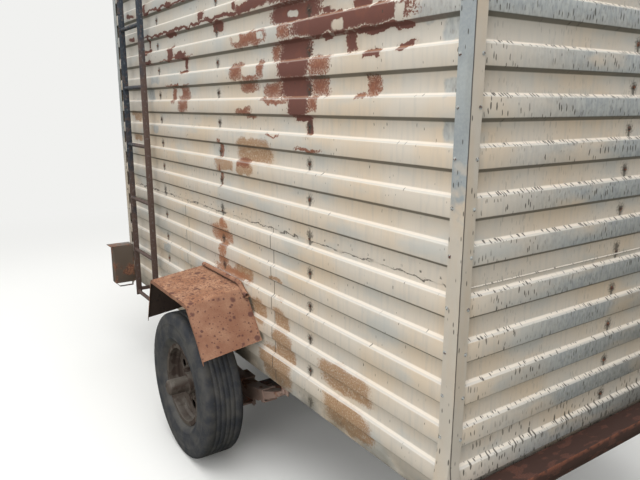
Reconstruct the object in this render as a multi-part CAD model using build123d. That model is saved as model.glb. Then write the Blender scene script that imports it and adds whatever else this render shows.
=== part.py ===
from build123d import *
import math
import os

# Field kitchen trailer on one axle. +X points to the tow eye, +Y to the side with the ladder, +Z up.
# The origin is on the ground, under the middle of the whole trailer. Sizes are in millimetres.

# Body
body_length = 3440.0
body_width = 1700.0
body_bottom = 547.0
wall_thick = 60.0
floor_thick = 40.0
rear_beam_depth = 90.0
drawbar_reach = 1260.0

# Ribbed cladding: each rib line is the middle of the slope above a rib
rib_pitch = 150.0
rib_depth = 18.0
rib_slope = 12.0
rib_flat = 63.0
first_rib_line = 154.5
lower_sheet_ribs = 5
upper_sheet_ribs = 9
sheet_lap = 17.5
top_pan = 69.0

# Corner flashing
flashing_side_leg = 56.0
flashing_end_leg = 48.0
flashing_thick = 2.0
flashing_drop = 23.0

# Roof
roof_overhang = 6.0
roof_edge_rise = 24.0
roof_rise = 60.0
roof_flat_width = 520.0
roof_lip = 54.0

# Chassis
rail_height = 90.0
rail_width = 60.0
rail_inset = 160.0
steel_thick = 6.0
cross_member_width = 50.0
cross_member_shares = (0.02, 0.26, 0.62, 0.96)
rear_beam_face = 45.0
rear_beam_top = 620.0
rear_beam_end_gap = 2.0

# Axle, springs and wheels
axle_from_rear = 1713.0
wheel_radius = 400.0
axle_drop = 160.0
beam_side = 70.0
upright_width = 60.0
stub_radius = 32.0
spring_inset = 100.0
spring_width = 70.0
spring_length = 1100.0
spring_camber = 150.0
leaf_thick = 11.0
leaf_count = 7
leaf_step = 60.0
spring_eye_radius = 16.0
spring_pin_radius = 8.0
hanger_plate = 8.0
clamp_rod_radius = 8.0
clamp_plate = 10.0
tyre_width = 214.0
tyre_offset = 192.0
rim_width = 158.0
rim_flange_radius = 226.0
bead_radius = 206.0
rim_thick = 6.0
rim_well_radius = 190.0
disc_in = 70.0
disc_thick = 8.0
hand_hole_radius = 27.0
hand_hole_circle = 132.0
hand_hole_count = 6
hand_hole_start = 30.0
hub_radius = 58.0
hub_flange_radius = 105.0
hub_flange_thick = 14.0
hub_cap_radius = 42.0
hub_cap_end_radius = 30.0
hub_reach = 352.0
drum_radius = 150.0
drum_width = 105.0
backplate_thick = 7.0
running_gap = 0.3
wheel_gap = 6.0
spring_gap = 1.0

# Mudguards: places along the body are taken from the rear wall
guard_top = 979.0
guard_width = 318.0
guard_fall = 40.0
guard_thick = 3.0
guard_lip = 20.0
guard_flat_start = 1464.0
guard_flat_end = 1987.0
guard_near_run = 186.0
guard_near_drop = 235.0
guard_far_run = 92.0
guard_far_drop = 252.0
guard_bar_start = 1395.0
guard_bar_end = 1947.0
guard_bar = 30.0

# Ladder
ladder_to_front = 357.0
ladder_spacing = 390.0
ladder_rail_wide = 40.0
ladder_rail_thick = 8.0
ladder_standoff = 40.0
ladder_bottom = 517.0
ladder_top = 2852.0
rung_bottom_gap = 22.0
rung_second = 861.0
rung_pitch = 381.0
rungs_above = 6
rung_radius = 13.0
ladder_bracket_high = 26.0
ladder_bracket_rib = 13

# Corner bracket box at the front
corner_box_out = 150.0
corner_box_back = 75.0
corner_box_front = 10.0
corner_box_bottom = 542.0
corner_box_top = 833.0
corner_box_sheet = 4.0
corner_box_brim = 24.0
strip_drop = 45.0
strip_wide = 25.0
strip_lap = 15.0

# Entry door and serving hatch, in the right wall
door_to_front = 180.0
door_width = 700.0
door_height = 1870.0
door_hinge_ribs = (1, 5, 10)
hatch_start = 240.0
hatch_width = 900.0
hatch_bottom = 1342.0
hatch_height = 700.0
hatch_hinge_shares = (0.2, 0.8)
frame_edge = 8.0
frame_stop = 25.0
leaf_gap = 6.0
door_leaf_thick = 36.0
hinge_radius = 10.0
hinge_off = 13.0
hinge_pin_radius = 6.0
hinge_pin_gap = 0.1
hinge_plate = 5.0
hinge_knuckle = 28.0
hinge_knuckle_gap = 0.5
hinge_plate_long = 60.0
shelf_depth = 320.0
shelf_thick = 20.0
shelf_below = 75.0
shelf_off = 18.0
shelf_hinge_shares = (0.15, 0.85)
handle_off = 40.0
handle_radius = 7.0
handle_ribs = (5, 6)
step_depth = 200.0
step_width = 560.0
step_height = 300.0
step_thick = 25.0
step_arm = 12.0

# Roof fittings and the cooking range
flue_from_rear = 2005.0
flue_y = 160.0
flue_radius = 70.0
flue_wall = 4.0
flue_height = 230.0
flue_flange = 110.0
flue_flange_thick = 8.0
cap_radius = 115.0
cap_height = 45.0
cap_gap = 55.0
cap_leg = 6.0
vent_from_rear = 905.0
vent_radius = 130.0
vent_neck_radius = 90.0
vent_height = 60.0
range_length = 900.0
range_width = 600.0
range_height = 850.0
range_side = 60.0

# Drawbar, tow eye and prop leg
head_long = 100.0
head_wide = 140.0
head_height = 760.0
arm_end_inner = 15.0
eye_height = 690.0
eye_radius = 38.0
eye_ring = 42.0
eye_shank = 30.0
eye_shank_radius = 17.0
eye_rounding = 10.0
eye_flange = 100.0
eye_flange_thick = 15.0
prop_pivot_back = 60.0
prop_pivot_below = 40.0
prop_side = 50.0
prop_pin_radius = 10.0
prop_cheek = 8.0
prop_cheek_gap = 6.0
prop_plate = 8.0
prop_foot = 150.0
prop_foot_thick = 10.0

# How far a cut runs past a face, and a joined piece into the piece it joins
past = 1.0

# Places worked out from the sizes above
overall_length = rear_beam_depth + body_length + drawbar_reach
x_rear = -overall_length / 2 + rear_beam_depth
x_front = x_rear + body_length
x_middle = (x_rear + x_front) / 2
x_axle = x_rear + axle_from_rear
side = body_width / 2
inner_side = side - wall_thick
rail_outer = side - rail_inset
spring_centre = side - spring_inset
rear_beam_half = side - flashing_end_leg - rear_beam_end_gap
door_start = body_length - door_to_front - door_width
ladder_near = body_length - ladder_to_front - ladder_spacing
flue_x = x_rear + flue_from_rear
vent_x = x_rear + vent_from_rear
rib_lines = [body_bottom + first_rib_line + rib_pitch * i for i in range(lower_sheet_ribs)]
lap_line = rib_lines[-1] + rib_pitch + sheet_lap
rib_lines += [lap_line + rib_pitch * i for i in range(upper_sheet_ribs)]
wall_top = rib_lines[-1] + top_pan
floor_top = body_bottom + floor_thick
rail_bottom = body_bottom - rail_height
roof_top = wall_top + roof_edge_rise + roof_rise


def block(x0, x1, y0, y1, z0, z1):
    """A box between two corners."""
    centre = ((x0 + x1) / 2, (y0 + y1) / 2, (z0 + z1) / 2)
    return Pos(*centre) * Box(abs(x1 - x0), abs(y1 - y0), abs(z1 - z0))


def rod(start, end, radius):
    """A round bar from one point to another."""
    line = Vector(*end) - Vector(*start)
    plane = Plane(origin=Vector(*start), z_dir=line)
    return extrude(plane * Circle(radius), line.length)


def face_xz(points, y=0.0):
    """A closed outline of (x, z) points, standing at the given y and facing -Y."""
    return make_face(Polyline(*[(x, y, z) for x, z in points], close=True))


def face_yz(points, x=0.0):
    """A closed outline of (y, z) points, standing at the given x."""
    return make_face(Polyline(*[(x, y, z) for y, z in points], close=True))


def face_xy(points, z=0.0):
    """A closed outline of (x, y) points, lying at the given height."""
    return make_face(Polyline(*[(x, y, z) for x, y in points], close=True))


def bent_strip(points, thick):
    """Outline of a plate of even thickness, bent along the points, on their right-hand side."""
    other = []
    for i, (a, b) in enumerate(points):
        before = points[max(i - 1, 0)]
        after = points[min(i + 1, len(points) - 1)]
        d1 = Vector(a - before[0], b - before[1]) if i else Vector(after[0] - a, after[1] - b)
        d2 = Vector(after[0] - a, after[1] - b) if i < len(points) - 1 else d1
        n1 = Vector(d1.Y, -d1.X).normalized()
        n2 = Vector(d2.Y, -d2.X).normalized()
        mean = (n1 + n2).normalized()
        reach = thick / mean.dot(n1)
        other.append((a + mean.X * reach, b + mean.Y * reach))
    return list(points) + other[::-1]


def save(name, shape):
    export_step(shape, "parts/" + name + ".step")


def other_side(shape):
    """The same piece on the other side of the trailer."""
    return mirror(shape, about=Plane.XZ)


def save_pair(name, shape):
    save(name + "_left", shape)
    save(name + "_right", other_side(shape))


def rib_middle(rib):
    """Height of the middle of a rib's flat top."""
    return rib_lines[rib] - rib_slope / 2 - rib_flat / 2


def ribbed_wall(length):
    """A wall facing +Y with its rib tops at y = 0 and its ends mitred, centred on x = 0."""
    outline = [(-wall_thick, body_bottom), (-rib_depth, body_bottom)]
    for line in rib_lines:
        rib_top = line - rib_slope / 2
        rib_foot = rib_top - rib_flat
        outline += [(-rib_depth, rib_foot - rib_slope), (0, rib_foot)]
        outline += [(0, rib_top), (-rib_depth, rib_top + rib_slope)]
    outline += [(-rib_depth, wall_top), (-wall_thick, wall_top)]
    bar = extrude(face_yz(outline, -length / 2), length, dir=(1, 0, 0))
    half = length / 2
    plan = [(-half, 0), (half, 0), (half - wall_thick, -wall_thick), (-half + wall_thick, -wall_thick)]
    mitre = extrude(face_xy(plan, body_bottom), wall_top - body_bottom, dir=(0, 0, 1))
    return bar & mitre


def opening_block(start, width, bottom, height, margin, y_out, y_in):
    """The space of a door or hatch in the right wall, made smaller all round by a margin."""
    x0 = x_rear + start
    return block(
        x0 + margin, x0 + width - margin, -y_out, -y_in, bottom + margin, bottom + height - margin
    )


def opening_frame(start, width, bottom, height):
    """Lining of an opening, with a stop that the leaf closes against."""
    stop_face = side - door_leaf_thick - leaf_gap
    ring = opening_block(start, width, bottom, height, 0, side, inner_side)
    ring -= opening_block(start, width, bottom, height, frame_edge, side + past, stop_face)
    return ring - opening_block(start, width, bottom, height, frame_stop, side, inner_side - past)


def opening_leaf(start, width, bottom, height):
    """The leaf that closes an opening, clad like the wall around it."""
    margin = frame_edge + leaf_gap
    space = opening_block(start, width, bottom, height, margin, side, side - door_leaf_thick)
    return right_wall & space


def hinge_pair(centre, along, to_leaf, to_frame, leaf_y=None, frame_y=None):
    """Both halves of one hinge: the knuckle and plate on the frame, with the pin, and the leaf's.

    The directions to the leaf and the frame are as long as their plates. The plates lie flat on the
    wall unless their places across it are given.
    """
    flat = (-side - hinge_plate, -side)
    along = Vector(*along)
    centre = Vector(*centre)
    gap = along * (hinge_knuckle_gap / 2)
    end = along * (hinge_knuckle_gap / 2 + hinge_knuckle)
    pin_end = centre + along * hinge_knuckle
    halves = []
    for sign, towards, (ya, yb) in ((-1, to_frame, frame_y or flat), (1, to_leaf, leaf_y or flat)):
        knuckle = rod(tuple(centre + gap * sign), tuple(centre + end * sign), hinge_radius)
        low = centre + gap * sign
        high = centre + end * sign + Vector(*towards)
        plate = block(low.X, high.X, ya, yb, low.Z, high.Z)
        halves.append(knuckle + plate)
    frame_half, leaf_half = halves
    hole = rod(tuple(centre - end), tuple(centre + end + along * past), hinge_pin_radius + hinge_pin_gap)
    pin = rod(tuple(centre - end), tuple(pin_end), hinge_pin_radius)
    return frame_half + pin, leaf_half - hole


os.makedirs("parts", exist_ok=True)

# Walls and corners
long_wall = ribbed_wall(body_length)
end_wall = ribbed_wall(body_width)
left_wall = Pos(x_middle, side, 0) * long_wall
right_wall = Pos(x_middle, -side, 0) * Rot(0, 0, 180) * long_wall
save("wall_left", left_wall)
save("wall_rear", Pos(x_rear, 0, 0) * Rot(0, 0, 90) * end_wall)
save("wall_front", Pos(x_front, 0, 0) * Rot(0, 0, -90) * end_wall)

door_space = (door_start, door_width, floor_top, door_height)
hatch_space = (hatch_start, hatch_width, hatch_bottom, hatch_height)
cut_wall = right_wall
for space in (door_space, hatch_space):
    cut_wall -= opening_block(*space, 0, side + past, inner_side - past)
save("wall_right", cut_wall)

flashing_top = wall_top - roof_lip - running_gap
for x_name, x_corner, x_sign in (("rear", x_rear, -1), ("front", x_front, 1)):
    x_out = x_corner + x_sign * flashing_thick
    x_in = x_corner - x_sign * flashing_side_leg
    y_in = side - flashing_end_leg
    y_out = side + flashing_thick
    z_low = body_bottom - flashing_drop
    angle = block(x_out, x_in, y_out, y_in, z_low, flashing_top)
    angle -= block(x_corner, x_in, side, y_in, z_low, flashing_top)
    save_pair("flashing_" + x_name, angle)

# Roof with a drip edge all round
roof_side = side + roof_overhang
roof_section = [
    (-roof_side, wall_top),
    (roof_side, wall_top),
    (roof_side, wall_top + roof_edge_rise),
    (roof_flat_width / 2, roof_top),
    (-roof_flat_width / 2, roof_top),
    (-roof_side, wall_top + roof_edge_rise),
]
roof_length = body_length + 2 * roof_overhang
roof = extrude(face_yz(roof_section, x_rear - roof_overhang), roof_length, dir=(1, 0, 0))
lip_low = wall_top - roof_lip
lip = block(
    x_rear - roof_overhang, x_front + roof_overhang, -roof_side, roof_side, lip_low, wall_top
)
lip -= block(x_rear, x_front, -side, side, lip_low, wall_top)
save("roof_panel", roof + lip)

# Floor and what stands on it
floor_x0 = x_rear + wall_thick
floor_x1 = x_front - wall_thick
save("floor_panel", block(floor_x0, floor_x1, -inner_side, inner_side, body_bottom, floor_top))
range_y0 = flue_y - flue_radius - range_side
range_top = floor_top + range_height
cooking_range = block(
    flue_x - range_length / 2,
    flue_x + range_length / 2,
    range_y0,
    range_y0 + range_width,
    floor_top,
    range_top,
)
save("cooking_range", cooking_range)


def tube(x, y, z0, z1, radius, wall):
    """An upright pipe."""
    bottom = Plane(origin=(x, y, z0))
    return extrude(bottom * (Circle(radius) - Circle(radius - wall)), z1 - z0)


save("flue_inner", tube(flue_x, flue_y, range_top, wall_top, flue_radius, flue_wall))
flue_end = roof_top + flue_height
flue = tube(flue_x, flue_y, roof_top, flue_end, flue_radius, flue_wall)
flue += tube(
    flue_x, flue_y, roof_top, roof_top + flue_flange_thick, flue_flange, flue_flange - flue_radius
)
cap_low = flue_end + cap_gap
for angle_deg in (0, 120, 240):
    leg_x = flue_x + (flue_radius - flue_wall / 2) * math.cos(math.radians(angle_deg))
    leg_y = flue_y + (flue_radius - flue_wall / 2) * math.sin(math.radians(angle_deg))
    flue += rod((leg_x, leg_y, flue_end - cap_gap), (leg_x, leg_y, cap_low + past), cap_leg)
cap = Pos(flue_x, flue_y, cap_low + cap_height / 2) * Cone(cap_radius, flue_wall, cap_height)
save("flue_pipe", flue + cap)

neck = extrude(Plane(origin=(vent_x, 0, roof_top)) * Circle(vent_neck_radius), vent_height)
hat = Pos(vent_x, 0, roof_top + vent_height + cap_height / 2)
hat *= Cone(vent_radius, vent_neck_radius / 2, cap_height)
save("roof_vent", neck + hat)

# Chassis: channel rails, cross members and the beam across the rear
rail = block(x_rear, x_front, rail_outer - rail_width, rail_outer, rail_bottom, body_bottom)
rail -= block(
    x_rear,
    x_front,
    rail_outer - rail_width,
    rail_outer - steel_thick,
    rail_bottom + steel_thick,
    body_bottom - steel_thick,
)
save_pair("chassis_rail", rail)

web = rail_outer - steel_thick
cross_members = []
for share in cross_member_shares:
    x0 = x_rear + share * (body_length - cross_member_width)
    low, high = rail_bottom + steel_thick, body_bottom - steel_thick
    member = block(x0, x0 + cross_member_width, -web, web, low, high)
    member -= block(
        x0 + steel_thick, x0 + cross_member_width, -web, web, low + steel_thick, high - steel_thick
    )
    cross_members.append(member)
save("cross_members", Compound(children=cross_members))

beam_x = x_rear - rear_beam_depth
beam_section = [
    (x_rear, rail_bottom),
    (x_rear, rear_beam_top),
    (beam_x, rear_beam_top),
    (beam_x, rear_beam_top - rear_beam_face),
    (beam_x + steel_thick, rear_beam_top - rear_beam_face),
    (beam_x + steel_thick, rear_beam_top - steel_thick),
    (x_rear - steel_thick, rear_beam_top - steel_thick),
    (x_rear - steel_thick, rail_bottom),
]
rear_beam = extrude(face_xz(beam_section, -rear_beam_half), 2 * rear_beam_half, dir=(0, 1, 0))
save("rear_beam", rear_beam)

# Drawbar: two arms that meet at the head, which carries the tow eye
eye_outer = eye_radius + eye_ring
x_tip = overall_length / 2
x_eye = x_tip - eye_outer
head_x1 = x_eye - eye_outer - eye_shank - eye_flange_thick
head_x0 = head_x1 - head_long
arm_end_outer = head_wide / 2
arm_plan = [
    (x_front, rail_outer - rail_width),
    (x_front, rail_outer),
    (head_x0, arm_end_outer),
    (head_x0, arm_end_inner),
]
arm = extrude(face_xy(arm_plan, rail_bottom), rail_height, dir=(0, 0, 1))
save_pair("drawbar_arm", arm)
head = block(head_x0, head_x1, -head_wide / 2, head_wide / 2, rail_bottom, head_height)
save("drawbar_head", head)

eye = block(
    head_x1,
    head_x1 + eye_flange_thick,
    -eye_flange / 2,
    eye_flange / 2,
    eye_height - eye_flange / 2,
    eye_height + eye_flange / 2,
)
shank_end = x_eye - eye_radius - eye_ring / 2
eye += rod((head_x1, 0, eye_height), (shank_end, 0, eye_height), eye_shank_radius)
ring = Pos(x_eye, 0, eye_height) * Cylinder(eye_outer, eye_ring)
eye += fillet(ring.edges(), eye_rounding)
eye -= Pos(x_eye, 0, eye_height) * Cylinder(eye_radius, eye_ring)
save("tow_eye", eye)

# Prop leg: a square leg on a pin between two cheeks, which swings back and up
prop_x = head_x0 - prop_pivot_back
prop_z = rail_bottom - prop_pivot_below
cheek_in = prop_side / 2 + prop_cheek_gap
cheek_out = cheek_in + prop_cheek
plate_top = rail_bottom
bracket = block(
    prop_x - prop_side, head_x1, -head_wide / 2, head_wide / 2, plate_top - prop_plate, plate_top
)
for sign in (-1, 1):
    bracket += block(
        prop_x - prop_side / 2,
        prop_x + prop_side / 2,
        sign * cheek_in,
        sign * cheek_out,
        prop_z - prop_side / 2,
        plate_top,
    )
bracket += rod((prop_x, -cheek_out, prop_z), (prop_x, cheek_out, prop_z), prop_pin_radius)
save("prop_bracket", bracket)

leg_end = prop_foot_thick
leg = block(
    prop_x - prop_side / 2, prop_x + prop_side / 2, -prop_side / 2, prop_side / 2, leg_end, prop_z
)
leg += rod((prop_x, -prop_side / 2, prop_z), (prop_x, prop_side / 2, prop_z), prop_side / 2)
leg -= rod((prop_x, -prop_side, prop_z), (prop_x, prop_side, prop_z), prop_pin_radius + running_gap)
save("prop_leg", leg)
foot = block(
    prop_x - prop_foot / 2, prop_x + prop_foot / 2, -prop_foot / 2, prop_foot / 2, 0, leg_end
)
save("prop_foot", foot)

# Axle: a dropped square beam with a stub at each end
beam_z = wheel_radius - axle_drop
upright_in = spring_centre + spring_width / 2 + 2 * clamp_rod_radius + wheel_gap
upright_out = upright_in + upright_width
half_beam = beam_side / 2
axle = block(
    x_axle - half_beam, x_axle + half_beam, -upright_out, upright_out, beam_z - half_beam,
    beam_z + half_beam,
)
stub_end = side + tyre_offset + rim_width / 2
for sign in (-1, 1):
    axle += block(
        x_axle - half_beam,
        x_axle + half_beam,
        sign * upright_in,
        sign * upright_out,
        beam_z - half_beam,
        wheel_radius + half_beam,
    )
    stub_start = (x_axle, sign * upright_in, wheel_radius)
    axle += rod(stub_start, (x_axle, sign * stub_end, wheel_radius), stub_radius)
drum_outer = side + tyre_offset + rim_width / 2 - disc_in - hub_flange_thick
drum_inner = drum_outer - drum_width
backplate_out = drum_inner - wheel_gap
for sign in (-1, 1):
    start = (x_axle, sign * (backplate_out - backplate_thick), wheel_radius)
    axle += rod(start, (x_axle, sign * backplate_out, wheel_radius), drum_radius)
save("axle_beam", axle)

# Leaf springs: leaves of one arc, each shorter than the one above it
pack_low = beam_z + half_beam
bend_radius = ((spring_length / 2) ** 2 + spring_camber**2) / (2 * spring_camber)
bend_z = pack_low + leaf_count * leaf_thick + bend_radius
spring_start = (x_axle, spring_centre + spring_width / 2, bend_z)
spring_plane = Plane(origin=spring_start, x_dir=(1, 0, 0), z_dir=(0, -1, 0))
spring = None
for i in range(leaf_count):
    outer = bend_radius + i * leaf_thick
    length = spring_length - 2 * leaf_step * i
    leaf = Circle(outer + leaf_thick) - Circle(outer)
    leaf &= Pos(0, -bend_radius) * Rectangle(length, 4 * (spring_camber + leaf_count * leaf_thick))
    leaf = extrude(spring_plane * leaf, spring_width)
    spring = leaf if spring is None else spring + leaf
eye_z = pack_low + leaf_count * leaf_thick + spring_camber - leaf_thick / 2
eye_places = [x_axle - spring_length / 2, x_axle + spring_length / 2]
y0 = spring_centre - spring_width / 2
y1 = spring_centre + spring_width / 2
for x in eye_places:
    spring += rod((x, y0, eye_z), (x, y1, eye_z), spring_eye_radius)
    spring -= rod((x, y0 - past, eye_z), (x, y1 + past, eye_z), spring_pin_radius + running_gap)
save_pair("leaf_spring", spring)

hangers = []
plate_places = (
    (y0 - spring_gap - hanger_plate, y0 - spring_gap),
    (y1 + spring_gap, y1 + spring_gap + hanger_plate),
)
for x in eye_places:
    pin_start = (x, plate_places[0][0], eye_z)
    hanger = rod(pin_start, (x, plate_places[1][1], eye_z), spring_pin_radius)
    for ya, yb in plate_places:
        hanger += block(
            x - 2 * spring_eye_radius,
            x + 2 * spring_eye_radius,
            ya,
            yb,
            eye_z - spring_eye_radius,
            body_bottom,
        )
    hangers.append(hanger)
hangers += [other_side(hanger) for hanger in hangers]
save("spring_hangers", Compound(children=hangers))

rod_x = half_beam + clamp_rod_radius + spring_gap
rod_y = spring_width / 2 + clamp_rod_radius + spring_gap
reach_x = rod_x + clamp_rod_radius
clamp_rise = reach_x**2 / (2 * bend_radius) + running_gap
clamp_top = pack_low + leaf_count * leaf_thick + clamp_rise
clamp_low = beam_z - half_beam
reach_y = rod_y + clamp_rod_radius
clamp = None
for z0, z1 in ((clamp_low - clamp_plate, clamp_low), (clamp_top, clamp_top + clamp_plate)):
    plate = block(
        x_axle - reach_x, x_axle + reach_x, spring_centre - reach_y, spring_centre + reach_y, z0, z1
    )
    clamp = plate if clamp is None else clamp + plate
for sign_x in (-1, 1):
    for sign_y in (-1, 1):
        x = x_axle + sign_x * rod_x
        y = spring_centre + sign_y * rod_y
        clamp += rod((x, y, clamp_low - past), (x, y, clamp_top + past), clamp_rod_radius)
save_pair("spring_clamp", clamp)


def turned(points, plane):
    """A ring turned about the wheel's axis from (radius, place outboard) points."""
    outline = make_face(Polyline(*[(out, r) for r, out in points], close=True))
    return revolve(plane * outline, Axis(wheel_centre, (0, 1, 0)), 360)


wheel_centre = (x_axle, side, wheel_radius)
wheel_plane = Plane(origin=wheel_centre, x_dir=(0, 1, 0), z_dir=(1, 0, 0))
tyre_in = tyre_offset - tyre_width / 2
rim_in = tyre_offset - rim_width / 2
rim_out = tyre_offset + rim_width / 2
bead_in = rim_in + rim_thick + running_gap
bead_out = rim_out - rim_thick - running_gap
half_tyre = tyre_width / 2

# Tyre section: (share of the height above the bead, share of half the width)
tyre_shape = (
    (0.11, 0.80),
    (0.28, 0.96),
    (0.48, 1.00),
    (0.68, 0.99),
    (0.86, 0.96),
    (0.96, 0.91),
    (1.00, 0.80),
)
tyre_low = bead_radius + running_gap
tyre_tall = wheel_radius - tyre_low
side_points = [(tyre_low + r * tyre_tall, half_tyre * w) for r, w in tyre_shape]
tyre_points = [(tyre_low, bead_in), (rim_flange_radius + running_gap, bead_in)]
tyre_points += [(r, tyre_offset - w) for r, w in side_points]
tyre_points += [(r, tyre_offset + w) for r, w in side_points[::-1]]
tyre_points += [(rim_flange_radius + running_gap, bead_out), (tyre_low, bead_out)]
save_pair("tyre", turned(tyre_points, wheel_plane))

rim_points = [
    (rim_flange_radius, rim_in),
    (rim_flange_radius, rim_in + rim_thick),
    (bead_radius, rim_in + rim_thick),
    (bead_radius, rim_in + rim_width / 4),
    (rim_well_radius + rim_thick, rim_in + rim_width / 3),
    (rim_well_radius + rim_thick, rim_out - rim_width / 3),
    (bead_radius, rim_out - rim_width / 4),
    (bead_radius, rim_out - rim_thick),
    (rim_flange_radius, rim_out - rim_thick),
    (rim_flange_radius, rim_out),
    (bead_radius - rim_thick, rim_out),
    (bead_radius - rim_thick, rim_out - rim_width / 4),
    (rim_well_radius, rim_out - rim_width / 3),
    (rim_well_radius, rim_in + rim_width / 3),
    (bead_radius - rim_thick, rim_in + rim_width / 4),
    (bead_radius - rim_thick, rim_in),
]
rim = turned(rim_points, wheel_plane)
disc_out = rim_out - disc_in + disc_thick
disc_low = rim_out - disc_in
rim += turned(
    [
        (hub_radius + running_gap, disc_low),
        (rim_well_radius + past, disc_low),
        (rim_well_radius + past, disc_out),
        (hub_radius + running_gap, disc_out),
    ],
    wheel_plane,
)
for i in range(hand_hole_count):
    turn = math.radians(360 / hand_hole_count * i + hand_hole_start)
    x = x_axle + hand_hole_circle * math.cos(turn)
    z = wheel_radius + hand_hole_circle * math.sin(turn)
    rim -= rod((x, side + disc_low - past, z), (x, side + disc_out + past, z), hand_hole_radius)
save_pair("rim", rim)

bore = stub_radius + running_gap
bore_end = stub_end - side + wheel_gap
hub_points = [
    (bore, drum_inner - side),
    (hub_radius, drum_inner - side),
    (hub_radius, disc_low - hub_flange_thick),
    (hub_flange_radius, disc_low - hub_flange_thick),
    (hub_flange_radius, disc_low),
    (hub_radius, disc_low),
    (hub_radius, disc_out + disc_in / 2),
    (hub_cap_radius, disc_out + disc_in / 2),
    (hub_cap_radius, hub_reach - disc_thick),
    (hub_cap_end_radius, hub_reach),
    (0, hub_reach),
    (0, bore_end),
    (bore, bore_end),
]
drum_points = [
    (hub_radius - past, drum_inner - side),
    (drum_radius, drum_inner - side),
    (drum_radius, drum_outer - side),
    (hub_radius - past, drum_outer - side),
]
save_pair("hub_and_drum", turned(hub_points, wheel_plane) + turned(drum_points, wheel_plane))

# Mudguards
guard_line = [
    (x_rear + guard_flat_start - guard_near_run, guard_top - guard_near_drop),
    (x_rear + guard_flat_start, guard_top),
    (x_rear + guard_flat_end, guard_top),
    (x_rear + guard_flat_end + guard_far_run, guard_top - guard_far_drop),
]
guard_section = bent_strip(guard_line, guard_thick)
across = Vector(0, guard_width, -guard_fall)
guard = extrude(face_xz(guard_section, side), across.length, dir=across.normalized())
lip_section = bent_strip(guard_line, guard_lip)
lip_start = side + guard_width - guard_thick
lip = extrude(face_xz(lip_section, lip_start), guard_thick, dir=(0, 1, 0))
guard += Pos(0, 0, -guard_fall) * lip
bar_section = [
    (side, guard_top - guard_thick),
    (side + guard_bar, guard_top - guard_thick),
    (side + guard_bar, guard_top + guard_thick),
    (side + 2 * guard_thick, guard_top + guard_thick),
    (side + 2 * guard_thick, guard_top + guard_bar),
    (side, guard_top + guard_bar),
]
guard += extrude(
    face_yz(bar_section, x_rear + guard_bar_start), guard_bar_end - guard_bar_start, dir=(1, 0, 0)
)
save_pair("mudguard", guard)

# Ladder on the left side
rail_y0 = side + ladder_standoff
rail_y1 = rail_y0 + ladder_rail_wide
half_rail = ladder_rail_thick / 2
near_x = x_rear + ladder_near
rail_places = (near_x, near_x + ladder_spacing)
bracket_places = (
    (side - rib_depth, body_bottom + ladder_bracket_high / 2),
    (side, rib_middle(ladder_bracket_rib)),
)
ladder_rails = []
ladder_brackets = []
for x in rail_places:
    ladder_rails.append(
        block(x - half_rail, x + half_rail, rail_y0, rail_y1, ladder_bottom, ladder_top)
    )
    for y, z in bracket_places:
        low = z - ladder_bracket_high / 2
        ladder_brackets.append(
            block(x - half_rail, x + half_rail, y, rail_y0, low, low + ladder_bracket_high)
        )
save("ladder_rails", Compound(children=ladder_rails))
save("ladder_brackets", Compound(children=ladder_brackets))
rung_y = (rail_y0 + rail_y1) / 2
rung_heights = [ladder_bottom + rung_bottom_gap]
rung_heights += [rung_second + rung_pitch * i for i in range(rungs_above)]
rungs = []
for z in rung_heights:
    rungs.append(
        rod(
            (rail_places[0] + half_rail, rung_y, z), (rail_places[1] - half_rail, rung_y, z),
            rung_radius,
        )
    )
save("ladder_rungs", Compound(children=rungs))

# Corner bracket boxes beside the front corners, open below, each with a guard strip under it
box_x0 = x_front - corner_box_back
box_x1 = x_front + corner_box_front
box_y0 = side + flashing_thick + running_gap
box_y1 = side + corner_box_out
corner_box = block(box_x0, box_x1, box_y0, box_y1, corner_box_bottom, corner_box_top)
corner_box -= block(
    box_x0 + corner_box_sheet,
    box_x1 - corner_box_sheet,
    box_y0 + corner_box_sheet,
    box_y1 - corner_box_sheet,
    corner_box_bottom,
    corner_box_top - corner_box_sheet,
)
corner_box += block(
    box_x0,
    box_x1 + corner_box_brim,
    box_y0,
    box_y1 + corner_box_brim,
    corner_box_top,
    corner_box_top + corner_box_sheet,
)
strip_low = corner_box_bottom - strip_drop
strip_high = corner_box_bottom + strip_lap
bend = box_y1 - strip_drop
strip_section = [
    (box_y0, strip_high),
    (box_y0, strip_low),
    (bend, strip_low),
    (box_y1, corner_box_bottom),
    (box_y1, strip_high),
    (box_y1 - corner_box_sheet, strip_high),
    (box_y1 - corner_box_sheet, corner_box_bottom),
    (bend - corner_box_sheet / 2, strip_low + corner_box_sheet),
    (box_y0 + corner_box_sheet, strip_low + corner_box_sheet),
    (box_y0 + corner_box_sheet, strip_high),
]
strip_x = box_x1 - 2 * corner_box_sheet - strip_wide
strip = extrude(face_yz(strip_section, strip_x), strip_wide, dir=(1, 0, 0))
save_pair("corner_box", corner_box + strip)

# Entry door
leaf_margin = frame_edge + leaf_gap
hinge_y = -side - hinge_off
door_hinge_x = x_rear + door_start + door_width - frame_edge - leaf_gap / 2
door_leaf = opening_leaf(*door_space)
door_frame = opening_frame(*door_space)
for rib in door_hinge_ribs:
    z = rib_middle(rib)
    frame_half, leaf_half = hinge_pair(
        (door_hinge_x, hinge_y, z), (0, 0, 1), (-hinge_plate_long, 0, 0), (hinge_plate_long, 0, 0)
    )
    door_frame += frame_half
    door_leaf += leaf_half
save("door_frame", door_frame)
save("door_leaf", door_leaf)

handle_x = x_rear + door_start + leaf_margin + 2 * handle_off
handle_y = -side - handle_off
handle_places = [rib_middle(rib) for rib in handle_ribs]
handle = rod(
    (handle_x, handle_y, handle_places[0] - handle_radius),
    (handle_x, handle_y, handle_places[-1] + handle_radius),
    handle_radius,
)
for z in handle_places:
    handle += rod((handle_x, handle_y, z), (handle_x, -side, z), handle_radius)
save("door_handle", handle)

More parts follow.
